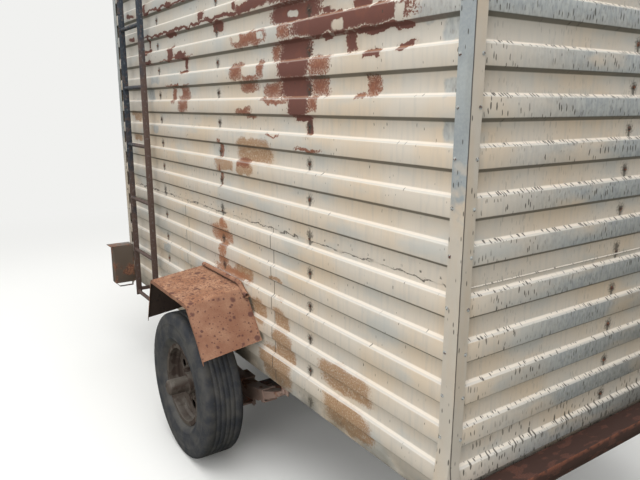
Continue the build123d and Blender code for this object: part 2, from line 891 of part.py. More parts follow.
# Serving hatch with its flap, hinged along the top, and the shelf below it
hatch_hinge_z = hatch_bottom + hatch_height - frame_edge - leaf_gap / 2
hatch_leaf = opening_leaf(*hatch_space)
hatch_frame = opening_frame(*hatch_space)
for share in hatch_hinge_shares:
    x = x_rear + hatch_start + hatch_width * share
    frame_half, leaf_half = hinge_pair(
        (x, hinge_y, hatch_hinge_z), (1, 0, 0), (0, 0, -hinge_plate_long), (0, 0, hinge_plate_long)
    )
    hatch_frame += frame_half
    hatch_leaf += leaf_half
save("hatch_frame", hatch_frame)
save("hatch_flap", hatch_leaf)

shelf_axis_z = hatch_bottom - shelf_below
shelf_axis_y = -side - shelf_off
shelf_y = (shelf_axis_y - shelf_thick / 2, shelf_axis_y + shelf_thick / 2)
shelf_x0 = x_rear + hatch_start + leaf_margin
shelf_x1 = shelf_x0 + hatch_width - 2 * leaf_margin
shelf_top = shelf_axis_z - hinge_radius - leaf_gap
shelf = block(shelf_x0, shelf_x1, *shelf_y, shelf_top - shelf_depth, shelf_top)
shelf_strap_y = (shelf_axis_y - hinge_plate / 2, shelf_axis_y + hinge_plate / 2)
shelf_brackets = []
for share in shelf_hinge_shares:
    x = shelf_x0 + (shelf_x1 - shelf_x0) * share
    frame_half, leaf_half = hinge_pair(
        (x, shelf_axis_y, shelf_axis_z),
        (1, 0, 0),
        (0, 0, -hinge_plate_long),
        (0, 0, shelf_below - 2 * leaf_gap),
        shelf_strap_y,
        (shelf_axis_y, -side),
    )
    shelf_brackets.append(frame_half)
    shelf += leaf_half
save("shelf_brackets", Compound(children=shelf_brackets))
save("counter_shelf", shelf)

# Step under the door
step_x0 = x_rear + door_start + (door_width - step_width) / 2
step_out = -side - step_depth
step = block(step_x0, step_x0 + step_width, step_out, -side, step_height, step_height + step_thick)
arm_section = [
    (-rail_outer, body_bottom - rail_height / 3),
    (-rail_outer, rail_bottom),
    (-side, step_height),
    (step_out, step_height),
    (step_out, step_height + step_thick),
    (-side, step_height + step_thick),
]
for x in (step_x0, step_x0 + step_width - step_arm):
    step += extrude(face_yz(arm_section, x), step_arm, dir=(1, 0, 0))
save("door_step", step)
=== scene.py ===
"""Looks of the field kitchen trailer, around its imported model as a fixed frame.

It is laid out as an add-on: each operator makes one piece, or one group of like pieces, and the
panel in the 3D view's sidebar lists them in the order in which they are made. Lengths are in
metres, unless a name ends in _mm. +X points to the tow eye, +Y to the side with the ladder.
"""

import math
from collections import namedtuple

import bmesh
import bpy
from mathutils import Matrix, Vector


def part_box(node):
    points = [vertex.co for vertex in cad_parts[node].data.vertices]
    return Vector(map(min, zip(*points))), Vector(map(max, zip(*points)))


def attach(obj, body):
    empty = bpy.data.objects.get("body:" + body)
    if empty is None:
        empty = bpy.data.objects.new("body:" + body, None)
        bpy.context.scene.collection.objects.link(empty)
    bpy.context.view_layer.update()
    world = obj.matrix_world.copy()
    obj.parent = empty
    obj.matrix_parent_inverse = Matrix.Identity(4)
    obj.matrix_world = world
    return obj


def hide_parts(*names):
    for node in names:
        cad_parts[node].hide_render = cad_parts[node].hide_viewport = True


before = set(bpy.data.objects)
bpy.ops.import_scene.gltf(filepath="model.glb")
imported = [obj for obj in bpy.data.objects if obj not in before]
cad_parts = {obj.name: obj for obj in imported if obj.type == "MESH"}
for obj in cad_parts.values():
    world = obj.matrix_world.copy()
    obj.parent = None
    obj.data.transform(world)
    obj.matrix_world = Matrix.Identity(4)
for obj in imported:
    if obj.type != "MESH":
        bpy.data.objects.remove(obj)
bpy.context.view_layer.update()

bl_info = {
    "name": "Field kitchen trailer",
    "version": (1, 0, 0),
    "blender": (4, 5, 0),
    "location": "View3D > Sidebar > Trailer",
    "description": "Builds the looks of a field kitchen trailer around its frame",
    "category": "Object",
}

# Places read from the frame
wall_low, wall_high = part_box("wall_left")
REAR_X = wall_low.x
FRONT_X = wall_high.x
SIDE_Y = wall_high.y
BODY_BOTTOM = wall_low.z
WALL_TOP = wall_high.z
tyre_low, tyre_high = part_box("tyre_left")
AXLE_X = (tyre_low.x + tyre_high.x) / 2
AXLE_Z = (tyre_low.z + tyre_high.z) / 2
TYRE_Y = (tyre_low.y + tyre_high.y) / 2
TYRE_RADIUS = tyre_high.z - AXLE_Z
SIDES = (("left", 1), ("right", -1))
ENDS = (("rear", REAR_X, -1), ("front", FRONT_X, 1))

# Ribs of the cladding. A rib line is the middle of the slope above a rib.
RIB_PITCH = 0.150
RIB_DEPTH = 0.018
RIB_SLOPE = 0.012
RIB_FLAT = 0.063
FIRST_RIB_LINE = 0.1545
LOWER_SHEET_RIBS = 5
UPPER_SHEET_RIBS = 9
SHEET_LAP = 0.0175
RIB_LINES = [BODY_BOTTOM + FIRST_RIB_LINE + RIB_PITCH * i for i in range(LOWER_SHEET_RIBS)]
RIB_LINES += [
    RIB_LINES[-1] + RIB_PITCH * (i + 1) + SHEET_LAP for i in range(UPPER_SHEET_RIBS)
]
LAP_ABOVE_LINE = 0.026
LAP_Z = RIB_LINES[LOWER_SHEET_RIBS - 1] + LAP_ABOVE_LINE
LAP_MM = (LAP_Z - BODY_BOTTOM) * 1000

# Rust and bare patches on the left wall, in millimetres: middle from the rear wall, middle above
# the body's bottom edge, half length, half height. They were chosen as rounded boxes.
# First the solid dark rust.
OLD_RUST = (
    (620, 1640, 380, 36), (975, 1712, 195, 42), (1010, 1800, 190, 46), (530, 1688, 52, 14),
    (735, 1690, 45, 16), (1330, 1778, 165, 24), (1495, 1806, 22, 20), (1650, 1768, 210, 11),
    (1710, 1728, 62, 25), (1895, 1800, 42, 28), (970, 1563, 130, 42), (430, 1592, 120, 11),
    (285, 1592, 40, 9), (585, 1560, 42, 38), (730, 1588, 30, 14), (290, 1530, 42, 11),
    (455, 1512, 46, 15), (975, 1488, 125, 42), (968, 1412, 122, 44), (935, 1338, 88, 42),
    (897, 1290, 65, 15), (855, 1250, 20, 36), (2200, 1622, 88, 24), (2362, 1642, 54, 38),
    (2142, 1572, 18, 36), (2190, 1528, 60, 8), (2340, 1748, 80, 13), (2300, 1764, 560, 7),
    (2350, 1920, 52, 15), (2450, 1913, 400, 6), (2780, 1940, 28, 28), (2742, 1728, 18, 34),
    (2790, 1680, 72, 14), (2790, 1613, 92, 14), (3080, 1930, 82, 13), (3070, 1775, 62, 14),
)
# Thinner rust, through which the sheet still shows
THIN_RUST = (
    (775, 1490, 78, 38), (785, 1415, 66, 38), (822, 1345, 30, 34), (1130, 1560, 36, 36),
    (1355, 1636, 178, 32), (1040, 1640, 60, 32), (1252, 1498, 40, 44), (1350, 1462, 75, 12),
    (1495, 1498, 78, 44), (1160, 1408, 82, 36), (1130, 1360, 112, 11), (1388, 1428, 92, 27),
    (450, 1405, 37, 36), (517, 1372, 32, 15), (1420, 1312, 82, 18), (1365, 1292, 60, 11),
    (2200, 1412, 80, 42), (2352, 1404, 32, 46), (2200, 1340, 74, 38), (2280, 1606, 260, 6),
    (2270, 1457, 180, 6), (1740, 662, 128, 46), (1702, 726, 46, 20), (1715, 582, 46, 54),
    (1738, 515, 64, 28), (1640, 468, 210, 24), (1435, 1062, 76, 24), (1716, 985, 16, 60),
    (1716, 1120, 22, 44), (858, 1160, 96, 7), (1140, 1206, 60, 5),
)
# The thinnest rust, tan and grainy
TAN_RUST = (
    (1350, 1130, 180, 58), (1430, 1040, 86, 36), (1660, 1042, 106, 36), (600, 240, 178, 60),
    (580, 85, 162, 68), (1115, 345, 64, 54), (1085, 215, 88, 80), (1165, 95, 142, 92),
    (1345, 340, 78, 62), (1500, 486, 95, 44), (1140, 545, 60, 10), (1110, 455, 48, 7),
    (3110, 1285, 112, 16), (3085, 1255, 76, 23), (3120, 1120, 92, 27),
)
# Paint that is still whole inside the rust
BARE_ISLANDS = (
    (312, 1631, 21, 25), (652, 1627, 35, 19), (648, 1706, 62, 15), (736, 1718, 32, 11),
    (992, 1706, 38, 12), (1140, 1634, 42, 34), (1245, 1643, 28, 14), (1480, 1646, 34, 14),
    (1168, 1480, 54, 27), (2270, 1416, 34, 18), (2272, 1656, 32, 14),
)
# Bare zinc
ZINC_PATCHES = (
    (122, 1628, 110, 34), (84, 1562, 44, 36), (73, 1397, 40, 27), (69, 1271, 36, 32),
    (2650, 1500, 75, 24), (2680, 1192, 44, 20), (2780, 1412, 60, 40), (2592, 407, 60, 34),
)
# Columns of screws: in the side walls from the rear wall, and in the end walls from their left.
# Each screw sits a little above its rib line, and none within a clear strip round an opening.
SIDE_SCREW_COLUMNS_MM = (866, 1730, 2610)
END_SCREW_COLUMNS_MM = (885,)
SCREW_ABOVE_LINE = 0.033
SCREW_CLEAR = 0.03
# Butt joints between the lower sheets, from the rear wall
BUTT_JOINTS_MM = (1180, 2230)

# Mudguards: the flat top and the pipe start and end that far from the rear wall, and the near and
# the far slope reach that far along and down. The outer edge hangs lower than the wall's.
GUARD_TOP = 0.979
GUARD_WIDTH = 0.318
GUARD_FALL = 0.040
GUARD_FLAT = (1.464, 1.987)
GUARD_NEAR = (0.186, 0.235)
GUARD_FAR = (0.092, 0.252)
GUARD_LIP = 0.020
GUARD_PIPE = (1.395, 1.947)

# Ladder: the lowest rung is at the rails' foot
RUNG_SECOND = 0.861
RUNG_PITCH = 0.381
RUNGS_ABOVE = 6
WELD_BEAD = 0.0035

# Outer face of the wheel disc, from the side wall
DISC_OUT = 0.209

# Clips round the curved leaf springs: from the axle, above the spring's lowest point, how steep,
# and their size
CLIP_REACH = 0.30
CLIP_RISE = 0.090
CLIP_TILT = math.radians(16)
CLIP_WIDTH = 0.032
CLIP_HEIGHT = 0.070
CLIP_THICK = 0.005
# Nuts of the spring clamps and pins of the springs: how far in from the ends of their pieces
NUT_INSET = 0.0085
PIN_INSET = 0.032
PIN_RISE = 0.016

# Door and hatch openings in the right wall: from the rear wall, width, bottom, height. Their
# leaves are smaller by a margin, and shut against stops behind the face of the wall.
DOOR = (2.560, 0.700, 0.587, 1.870)
HATCH = (0.240, 0.900, 1.342, 0.700)
LEAF_MARGIN = 0.014
STOP_DEPTH = 0.042
TRIM_REACH = 0.030
SEAL_WIDTH = 0.011
# Hinges: the door's are on ribs, and the hatch's at shares of its width. Their bolts stand on both
# sides of the pin, and those of the two halves are apart along it.
DOOR_HINGE_RIBS = (1, 5, 10)
HATCH_HINGE_SHARES = (0.2, 0.8)
HINGE_PLATE = 0.005
HINGE_MIDDLE = 0.0145
HINGE_INSET = 0.011
HINGE_BOLTS = (0.026, 0.048)
# Latches of the hatch, at shares of its width, and the door's handle, between two ribs
LATCH_SHARES = (0.22, 0.78)
HANDLE_RIBS = (5, 6)

# Roof section across the trailer, and the range under the flue. Hotplates are placed from the
# range's middle, (forward, left, radius), and the oven doors on both sides of it.
ROOF_FLAT = 0.520
ROOF_EDGE_RISE = 0.024
ROOF_RISE = 0.060
ROOF_SEAM_SHARES = (0.2, 0.4, 0.6, 0.8)
HOTPLATES = (
    (-0.24, 0.14, 0.110), (0.0, 0.14, 0.085), (0.24, 0.14, 0.110), (-0.12, -0.14, 0.085),
)
OVEN_REACH = 0.215
OVEN_HALF_WIDTH = 0.190
OVEN_FOOT, OVEN_TOP = 0.10, 0.56
KNOB_PITCH = 0.16
KNOBS = 5

# Camera, fitted to the photograph: behind the rear wall, outside the left wall, above the ground
CAMERA_BEHIND = 1.232
CAMERA_OUTSIDE = 1.341
CAMERA_HEIGHT = 1.886
CAMERA_LENS_MM = 33.90
CAMERA_TURN = math.radians(-33.906)
CAMERA_DIP = math.radians(12.556)

# The slot that each look fills, where a piece doesn't give its own
SLOTS = {
    **dict.fromkeys(("left", "right", "rear", "front"), "cladding_paint"),
    **dict.fromkeys(("zinc", "roof", "flashing", "screw_zinc"), "galvanised_sheet"),
    **dict.fromkeys(("plate", "box", "beam", "rim", "screw"), "rusty_plate"),
    **dict.fromkeys(("enamel", "iron"), "range_steel"),
    "chassis": "chassis_paint",
    "spring": "spring_steel",
    "ladder": "ladder_paint",
    "rubber": "tyre_rubber",
}
# CAD nodes that get a rounded copy
Rounded = namedtuple(
    "Rounded", "node look radius_mm pair body slot", defaults=(False, "trailer_body", None)
)
ROUNDED = (
    Rounded("wall_left", "left", 2.5),
    Rounded("wall_rear", "rear", 2.5),
    Rounded("wall_front", "front", 2.5),
    Rounded("rear_beam", "beam", 2.5),
    Rounded("ladder_rails", "ladder", 1.2),
    Rounded("corner_box", "box", 1.2, pair=True),
    Rounded("chassis_rail", "chassis", 2.0, pair=True),
    Rounded("cross_members", "chassis", 2.0),
    Rounded("drawbar_arm", "chassis", 3.0, pair=True),
    Rounded("drawbar_head", "chassis", 3.0),
    Rounded("tow_eye", "chassis", 2.0),
    Rounded("prop_bracket", "chassis", 1.2),
    Rounded("prop_leg", "chassis", 2.0, body="prop"),
    Rounded("prop_foot", "chassis", 1.5, body="prop"),
    Rounded("axle_beam", "chassis", 3.0),
    Rounded("spring_hangers", "spring", 1.5, slot="chassis_paint"),
    Rounded("leaf_spring", "spring", 1.0, pair=True),
    Rounded("spring_clamp", "spring", 1.2, pair=True),
    Rounded("door_step", "chassis", 1.5),
    Rounded("counter_shelf", "zinc", 1.5, body="shelf", slot="cladding_paint"),
    Rounded("door_handle", "ladder", 1.0, body="door"),
)
# The looks of the other CAD nodes. The walls' own are given when they are made.
COATED = {
    "right": ("door_leaf", "hatch_flap"),
    "zinc": ("door_frame", "hatch_frame", "shelf_brackets"),
    "roof": ("roof_panel", "roof_vent", "flue_pipe"),
    "flashing": [f"flashing_{end}_{side}" for end, *_ in ENDS for side, _ in SIDES],
    "chassis": ("hub_and_drum_left", "hub_and_drum_right"),
    "rim": ("rim_left", "rim_right"),
    "plate": ("mudguard_left", "mudguard_right"),
    "ladder": ("ladder_rungs", "ladder_brackets"),
    "rubber": ("tyre_left", "tyre_right"),
    "wood": ("floor_panel",),
    "enamel": ("cooking_range", "flue_inner"),
}


def linear(hex_colour):
    """An sRGB colour such as "BDB7A9" as linear red, green and blue."""
    parts = [int(hex_colour[i : i + 2], 16) / 255 for i in (0, 2, 4)]
    return tuple(p / 12.92 if p <= 0.04045 else ((p + 0.055) / 1.055) ** 2.4 for p in parts)


def rgba(colour):
    """A colour setting with the alpha that a shader socket wants."""
    return (*colour, 1.0)


# Settings that a user would change


def colour_setting(name, description, hex_colour):
    return bpy.props.FloatVectorProperty(
        name=name, description=description, subtype="COLOR", size=3, min=0.0, max=1.0,
        default=linear(hex_colour),
    )


def length_setting(name, description, default):
    return bpy.props.FloatProperty(
        name=name, description=description, default=default, min=0.0, unit="LENGTH"
    )


class TrailerFinish(bpy.types.PropertyGroup):
    """Colours of the paints, metals and dirt; some of them also paint highlight and shade"""

    paint: colour_setting("Paint", "Chalked cream paint on the cladding", "CBC1B3")
    paint_warm: colour_setting("Warm paint", "Where the cream paint has yellowed", "CDBCA6")
    # Washed paint also serves as the painted highlight on the upward slopes of the ribs
    paint_washed_and_highlight: colour_setting("Washed paint", "Slopes that rain has washed pale", "EFE6D8")
    zinc: colour_setting("Zinc", "Weathered zinc where the paint has gone", "93999C")
    zinc_pale: colour_setting("Pale zinc", "Oxidised zinc", "AFB3B1")
    # Grime is dirt, and also serves as the painted shade under each rib and on the lower rear wall
    grime: colour_setting("Grime", "Dirt under each rib", "5A554A")
    speck: colour_setting("Specks", "Splashes and drips of dirt", "443F38")
    old_rust: colour_setting("Old rust", "Old dark rust", "69453D")
    thin_rust: colour_setting("Thin rust", "Brown rust where the sheet shows through", "7A4D3D")
    fresh_rust: colour_setting("Running rust", "Orange run above the mudguard", "A2704F")
    orange_rust: colour_setting("Orange rust", "Fresh rust at the edges", "965C3F")
    tan_rust: colour_setting("Tan rust", "Thin rust stain", "9E7C57")
    plate_rust: colour_setting("Plate rust", "Pinkish rust of bare plate", "9C7258")
    plate_tan: colour_setting("Plate tan", "Paler rust of bare plate", "BC9477")
    # The rust spots also serve as the painted shade on the slopes of the rusty plate
    plate_spot_and_shade: colour_setting("Rust spots", "Dark spots on the rusty plate", "5C3D39")
    chassis: colour_setting("Chassis paint", "Old dark paint of the chassis", "38322E")
    rim_rust: colour_setting("Rim rust", "Dark brown rust of the rims", "3F332C")
    wheel: colour_setting("Wheel paint", "Dusty dark brown of the rims and hubs", "544B44")
    # The spring colour is the pinkish scale, painted paler to stand in for light that the springs
    # lack in the shade under the body
    spring: colour_setting("Spring steel", "Pinkish brown scale of the leaf springs", "A2897D")
    box: colour_setting("Box paint", "Brown-grey of the corner boxes", "65594F")
    beam_rust: colour_setting("Beam rust", "Brown rust of the rear beam", "7C4C39")
    beam: colour_setting("Beam paint", "Dark red-brown of the rear beam", "3F2A23")
    ladder: colour_setting("Ladder paint", "Blue-black paint of the ladder", "2E353E")
    ladder_rust: colour_setting("Ladder rust", "Rust that shows through it", "5E4A41")
    rubber: colour_setting("Rubber", "Grey worn rubber", "33353A")
    dust: colour_setting("Dust", "Dust on rubber and steel", "6E6A62")
    plywood: colour_setting("Plywood", "Dirty plywood floor", "8B7355")
    lining: colour_setting("Lining", "Painted lining inside the body", "B8B3A2")


class TrailerFixings(bpy.types.PropertyGroup):
    """Sizes of the small fixings"""

    washer_radius: length_setting("Washer radius", "Washer under a cladding screw", 0.009)
    head_radius: length_setting("Head radius", "Head of a cladding screw", 0.0055)
    head_height: length_setting("Head height", "Height of that head", 0.005)
    stud_radius: length_setting("Flashing screw", "Radius of a screw in the flashing", 0.0065)
    nut_radius: length_setting("Wheel nut radius", "Over the corners of a wheel nut", 0.0155)
    nut_circle: length_setting("Nut circle", "Radius of the circle of wheel nuts", 0.083)
    groove_depth: length_setting("Tread groove", "Depth of the worn tread grooves", 0.0025)
    groove_width: length_setting("Groove width", "Width of the tread grooves", 0.007)


class TrailerSheets(bpy.types.PropertyGroup):
    """Sizes of the sheet and plate work"""

    sheet_thickness: length_setting("Cladding sheet", "Thickness of the cladding sheet", 0.0012)
    flashing_thickness: length_setting("Flashing sheet", "Thickness of the flashing", 0.002)
    flashing_side_leg: length_setting("Side leg", "Leg of the flashing along the side", 0.056)
    flashing_end_leg: length_setting("End leg", "Leg of the flashing along the end wall", 0.048)
    flashing_lean: length_setting("Flashing lean", "How far its top stands off the end", 0.012)
    guard_thickness: length_setting("Mudguard plate", "Thickness of the mudguard", 0.003)
    guard_pipe_radius: length_setting("Guard pipe", "Radius of the pipe along the wall", 0.013)


class TrailerStage(bpy.types.PropertyGroup):
    """Floor, light and camera"""

    floor: colour_setting("Floor", "Pale floor", "F4F4F1")
    bounce: colour_setting("Bounce", "What the floor throws back on the trailer", "6F7168")
    backdrop: colour_setting("Backdrop", "What the camera sees past the floor", "F1F1EF")
    sky_strength: bpy.props.FloatProperty(
        name="Sky strength", description="Even light from all round", default=0.72, min=0.0
    )
    top_power: bpy.props.FloatProperty(
        name="Top light", description="Soft light from above", default=400.0, min=0.0, unit="POWER"
    )
    fill_power: bpy.props.FloatProperty(
        name="Fill light", description="Soft light from the camera's side", default=260.0, min=0.0,
        unit="POWER",
    )


# Materials: one function adds a node, and the others draw a kind of wear with several


def add_node(tree, kind, inputs=(), **settings):
    """Adds a node with its settings and links.

    Inputs go by number or name, or in order. Each is a value, a socket, or a node whose result
    is used.
    """
    node = tree.nodes.new("ShaderNode" + kind)
    for name, value in settings.items():
        setattr(node, name, value)
    for key, value in dict(inputs if isinstance(inputs, dict) else enumerate(inputs)).items():
        if isinstance(value, bpy.types.Node):
            value = next(s for s in value.outputs if s.enabled)
        if isinstance(value, bpy.types.NodeSocket):
            tree.links.new(value, node.inputs[key])
        else:
            node.inputs[key].default_value = value
    return node


def new_look(name, roughness, metallic=0.0, specular=0.5):
    """A material, its node tree, the place on the object in millimetres, and the colours.

    An object's own place is its place in the frame.
    """
    look = bpy.data.materials.new(name)
    look.use_nodes = True
    tree = look.node_tree
    shader = tree.nodes["Principled BSDF"]
    shader.inputs["Roughness"].default_value = roughness
    shader.inputs["Metallic"].default_value = metallic
    shader.inputs["Specular IOR Level"].default_value = specular
    place = add_node(tree, "TexCoord").outputs["Object"]
    where = add_node(tree, "VectorMath", {0: place, 3: 1000.0}, operation="SCALE")
    return look, tree, where, bpy.context.scene.trailer_finish


def surfaced(look, colour, height, depth, dull=None):
    """Gives a look its colour, and bump from a mask, as deep as the real relief in metres."""
    tree = look.node_tree
    shader = tree.nodes["Principled BSDF"]
    bump = add_node(tree, "Bump", {"Height": height, "Distance": depth, "Strength": 1.0})
    tree.links.new(colour.outputs[2], shader.inputs["Base Color"])
    tree.links.new(bump.outputs[0], shader.inputs["Normal"])
    if dull is not None:
        tree.links.new(dull.outputs[0], shader.inputs["Roughness"])
    return look


def cloud(tree, where, size, low, high, detail=4.0, stretch=(1, 1, 1), seed=0.0):
    """A mask of soft blotches about size millimetres wide, between two levels of the noise."""
    squeezed = add_node(
        tree, "Mapping",
        {"Vector": where, "Location": (seed, -seed, seed / 2), "Scale": [1 / s for s in stretch]},
    )
    noise = add_node(tree, "TexNoise", {"Vector": squeezed, "Scale": 1 / size, "Detail": detail})
    return add_node(tree, "MapRange", (noise, low, high), interpolation_type="SMOOTHSTEP")


def marks(tree, where, cell, radius, share, stretch=(1, 1, 1), seed=0.0, flat=True):
    """A mask of scattered marks: one in a share of the cells, up to radius millimetres."""
    squeezed = add_node(
        tree, "Mapping",
        {"Vector": where, "Location": (seed, seed / 2, -seed), "Scale": [1 / s for s in stretch]},
    )
    cells = add_node(
        tree, "TexVoronoi", {"Vector": squeezed, "Scale": 1 / cell},
        voronoi_dimensions="2D" if flat else "3D",
    )
    chance = add_node(tree, "SeparateColor", (cells.outputs["Color"],)).outputs
    size = add_node(tree, "Math", (chance[1], 0.7, 0.3), operation="MULTIPLY_ADD")
    grown = add_node(tree, "Math", (cells.outputs["Distance"], size), operation="DIVIDE")
    inside = add_node(tree, "MapRange", (grown, radius / cell, 0.7 * radius / cell))
    there = add_node(tree, "Math", (chance[0], share), operation="LESS_THAN")
    return times(tree, inside, there)


def warped(tree, where, size, reach):
    """The place moved about by noise, so that what is drawn from it has ragged edges."""
    noise = add_node(tree, "TexNoise", {"Vector": where, "Scale": 1 / size, "Detail": 4.0})
    centred = add_node(
        tree, "VectorMath", (noise.outputs["Color"], (0.5, 0.5, 0.5)), operation="SUBTRACT"
    )
    return add_node(
        tree, "VectorMath", (centred, (reach, 0.7 * reach, 0), where), operation="MULTIPLY_ADD"
    )


def patches(tree, where, table, grain=None, edge=0.06, after=None):
    """A mask and the field of it: 0 in the middle of the nearest patch and 1 at its edge.

    The patches are rounded boxes. A grain, which is a mask, breaks up the edge. The renderer has
    room for few values at a time, so the patches are compared six by six, and the place given to
    the next six carries what came before them in its unused third part.
    """
    parts = add_node(tree, "SeparateXYZ", (where,)).outputs
    nearest, before = None, after
    for start in range(0, len(table), 6):
        place = where
        if before is not None:
            place = add_node(tree, "CombineXYZ", (parts[0], parts[1], before))
        fields = [nearest] if nearest else []
        for along, up, half_along, half_up in table[start : start + 6]:
            local = add_node(
                tree, "Mapping",
                {"Vector": place, "Location": (along, up, 0), "Scale": (half_along, half_up, 1e9)},
                vector_type="TEXTURE",
            )
            squared = add_node(tree, "VectorMath", (local, local), operation="MULTIPLY")
            fields.append(add_node(tree, "VectorMath", (squared,), operation="LENGTH"))
        while len(fields) > 1:
            pairs = [add_node(tree, "Math", pair, operation="MINIMUM")
                     for pair in zip(fields[::2], fields[1::2])]
            fields = pairs + fields[2 * len(pairs):]
        nearest = before = fields[0]
    if grain is not None:
        nearest = add_node(tree, "Math", (grain, 0.3, nearest), operation="MULTIPLY_ADD")
    return add_node(tree, "MapRange", (nearest, 1.15 + edge, 1.15 - edge)), nearest


def times(tree, *masks):
    """The masks multiplied together."""
    result = masks[0]
    for mask in masks[1:]:
        result = add_node(tree, "Math", (result, mask), operation="MULTIPLY")
    return result


def strongest(tree, *masks):
    """The strongest of the masks at each point."""
    result = masks[0]
    for mask in masks[1:]:
        result = add_node(tree, "Math", (result, mask), operation="MAXIMUM")
    return result


def layered(tree, colour, *layers):
    """Finishes over one another. A layer is the masks and strengths of it, and then its colour.

    Colours may be settings or nodes.
    """
    for *masks, above in layers:
        amount = times(tree, *masks)
        shown = [c if isinstance(c, (bpy.types.Node, bpy.types.NodeSocket)) else rgba(c)
                 for c in (colour, above)]
        colour = add_node(tree, "Mix", {0: amount, 6: shown[0], 7: shown[1]}, data_type="RGBA")
    return colour


def facing(tree, low, high):
    """A mask of faces by how far they look up, from the object's own normals."""
    normal = add_node(tree, "TexCoord").outputs["Normal"]
    up = add_node(tree, "SeparateXYZ", (normal,)).outputs[2]
    return add_node(tree, "MapRange", (up, low, high))


def band(tree, value, middle, half):
    """A mask of a narrow band round a value."""
    off = add_node(tree, "Math", (value, middle), operation="SUBTRACT")
    far = add_node(tree, "Math", (off,), operation="ABSOLUTE")
    return add_node(tree, "MapRange", (far, half, half * 0.6))


# The cladding: its places are along the wall from the rear or the left, up from the body's bottom
# edge, and outward, in millimetres
Sheet = namedtuple("Sheet", "wall where along height out ragged grain")


def on_wall(tree, place, wall):
    """The places on one wall, and the ragged place and the grain that its wear is drawn from."""
    parts = add_node(tree, "SeparateXYZ", (place,)).outputs
    height = add_node(tree, "Math", (parts[2], BODY_BOTTOM * 1000), operation="SUBTRACT")
    if wall in ("left", "right"):
        along = add_node(tree, "Math", (parts[0], REAR_X * 1000), operation="SUBTRACT")
        across, limit = parts[1], SIDE_Y
    else:
        along = add_node(tree, "Math", (SIDE_Y * 1000, parts[1]), operation="SUBTRACT")
        across, limit = parts[0], (REAR_X if wall == "rear" else FRONT_X)
    sign = 1.0 if wall in ("left", "front") else -1.0
    out = add_node(tree, "Math", (across, sign, -abs(limit) * 1000), operation="MULTIPLY_ADD")
    where = add_node(tree, "CombineXYZ", (along, height, out))
    ragged = warped(tree, where, 70, 88)
    grain = cloud(tree, where, 9, 0.34, 0.66, detail=3.0, seed=2)
    return Sheet(wall, where, along, height, out, ragged, grain)


def worn_paint(tree, finish, sheet, crest):
    """Chalked paint, yellower in places, with faint runs, and zinc where it has worn away."""
    where = sheet.where
    warm = cloud(tree, where, 420, 0.42, 0.62, seed=31)
    runs = cloud(tree, where, 16, 0.45, 0.75, stretch=(1, 9, 1), seed=7)
    cool = cloud(tree, where, 150, 0.5, 0.68, stretch=(2.2, 1, 1), seed=53)
    chalky = add_node(tree, "MapRange", (sheet.height, 1280.0, 1780.0))
    colour = layered(
        tree, finish.paint, (warm, finish.paint_warm), (runs, 0.2, finish.zinc),
        (cool, 0.55, finish.zinc_pale), (chalky, 0.42, finish.zinc_pale),
    )
    zinc_grain = cloud(tree, where, 15, 0.3, 0.7, stretch=(1, 2.6, 1), seed=3)
    mottled = cloud(tree, where, 11, 0.5, 0.72, detail=6.0, stretch=(1, 1.7, 1), seed=66)
    zinc = layered(
        tree, finish.zinc, (zinc_grain, finish.zinc_pale), (mottled, 0.4, finish.grime)
    )
    if sheet.wall == "rear":
        far_side = add_node(tree, "MapRange", (sheet.along, 100.0, 580.0))
        rubbed = cloud(tree, where, 150, 0.3, 0.5, stretch=(2.8, 1, 1), seed=11)
        high = add_node(tree, "MapRange", (sheet.height, 1485.0, 1635.0))
        worn = strongest(tree, times(tree, crest, far_side, rubbed), times(tree, high, crest))
        return layered(tree, colour, (worn, 0.9, zinc))
    if sheet.wall == "left":
        worn, _ = patches(tree, sheet.ragged, ZINC_PATCHES, edge=0.35)
        return layered(tree, colour, (worn, 0.75, zinc))
    worn = cloud(tree, where, 260, 0.52, 0.62, seed=19)
    return layered(tree, colour, (crest, worn, 0.8, zinc))


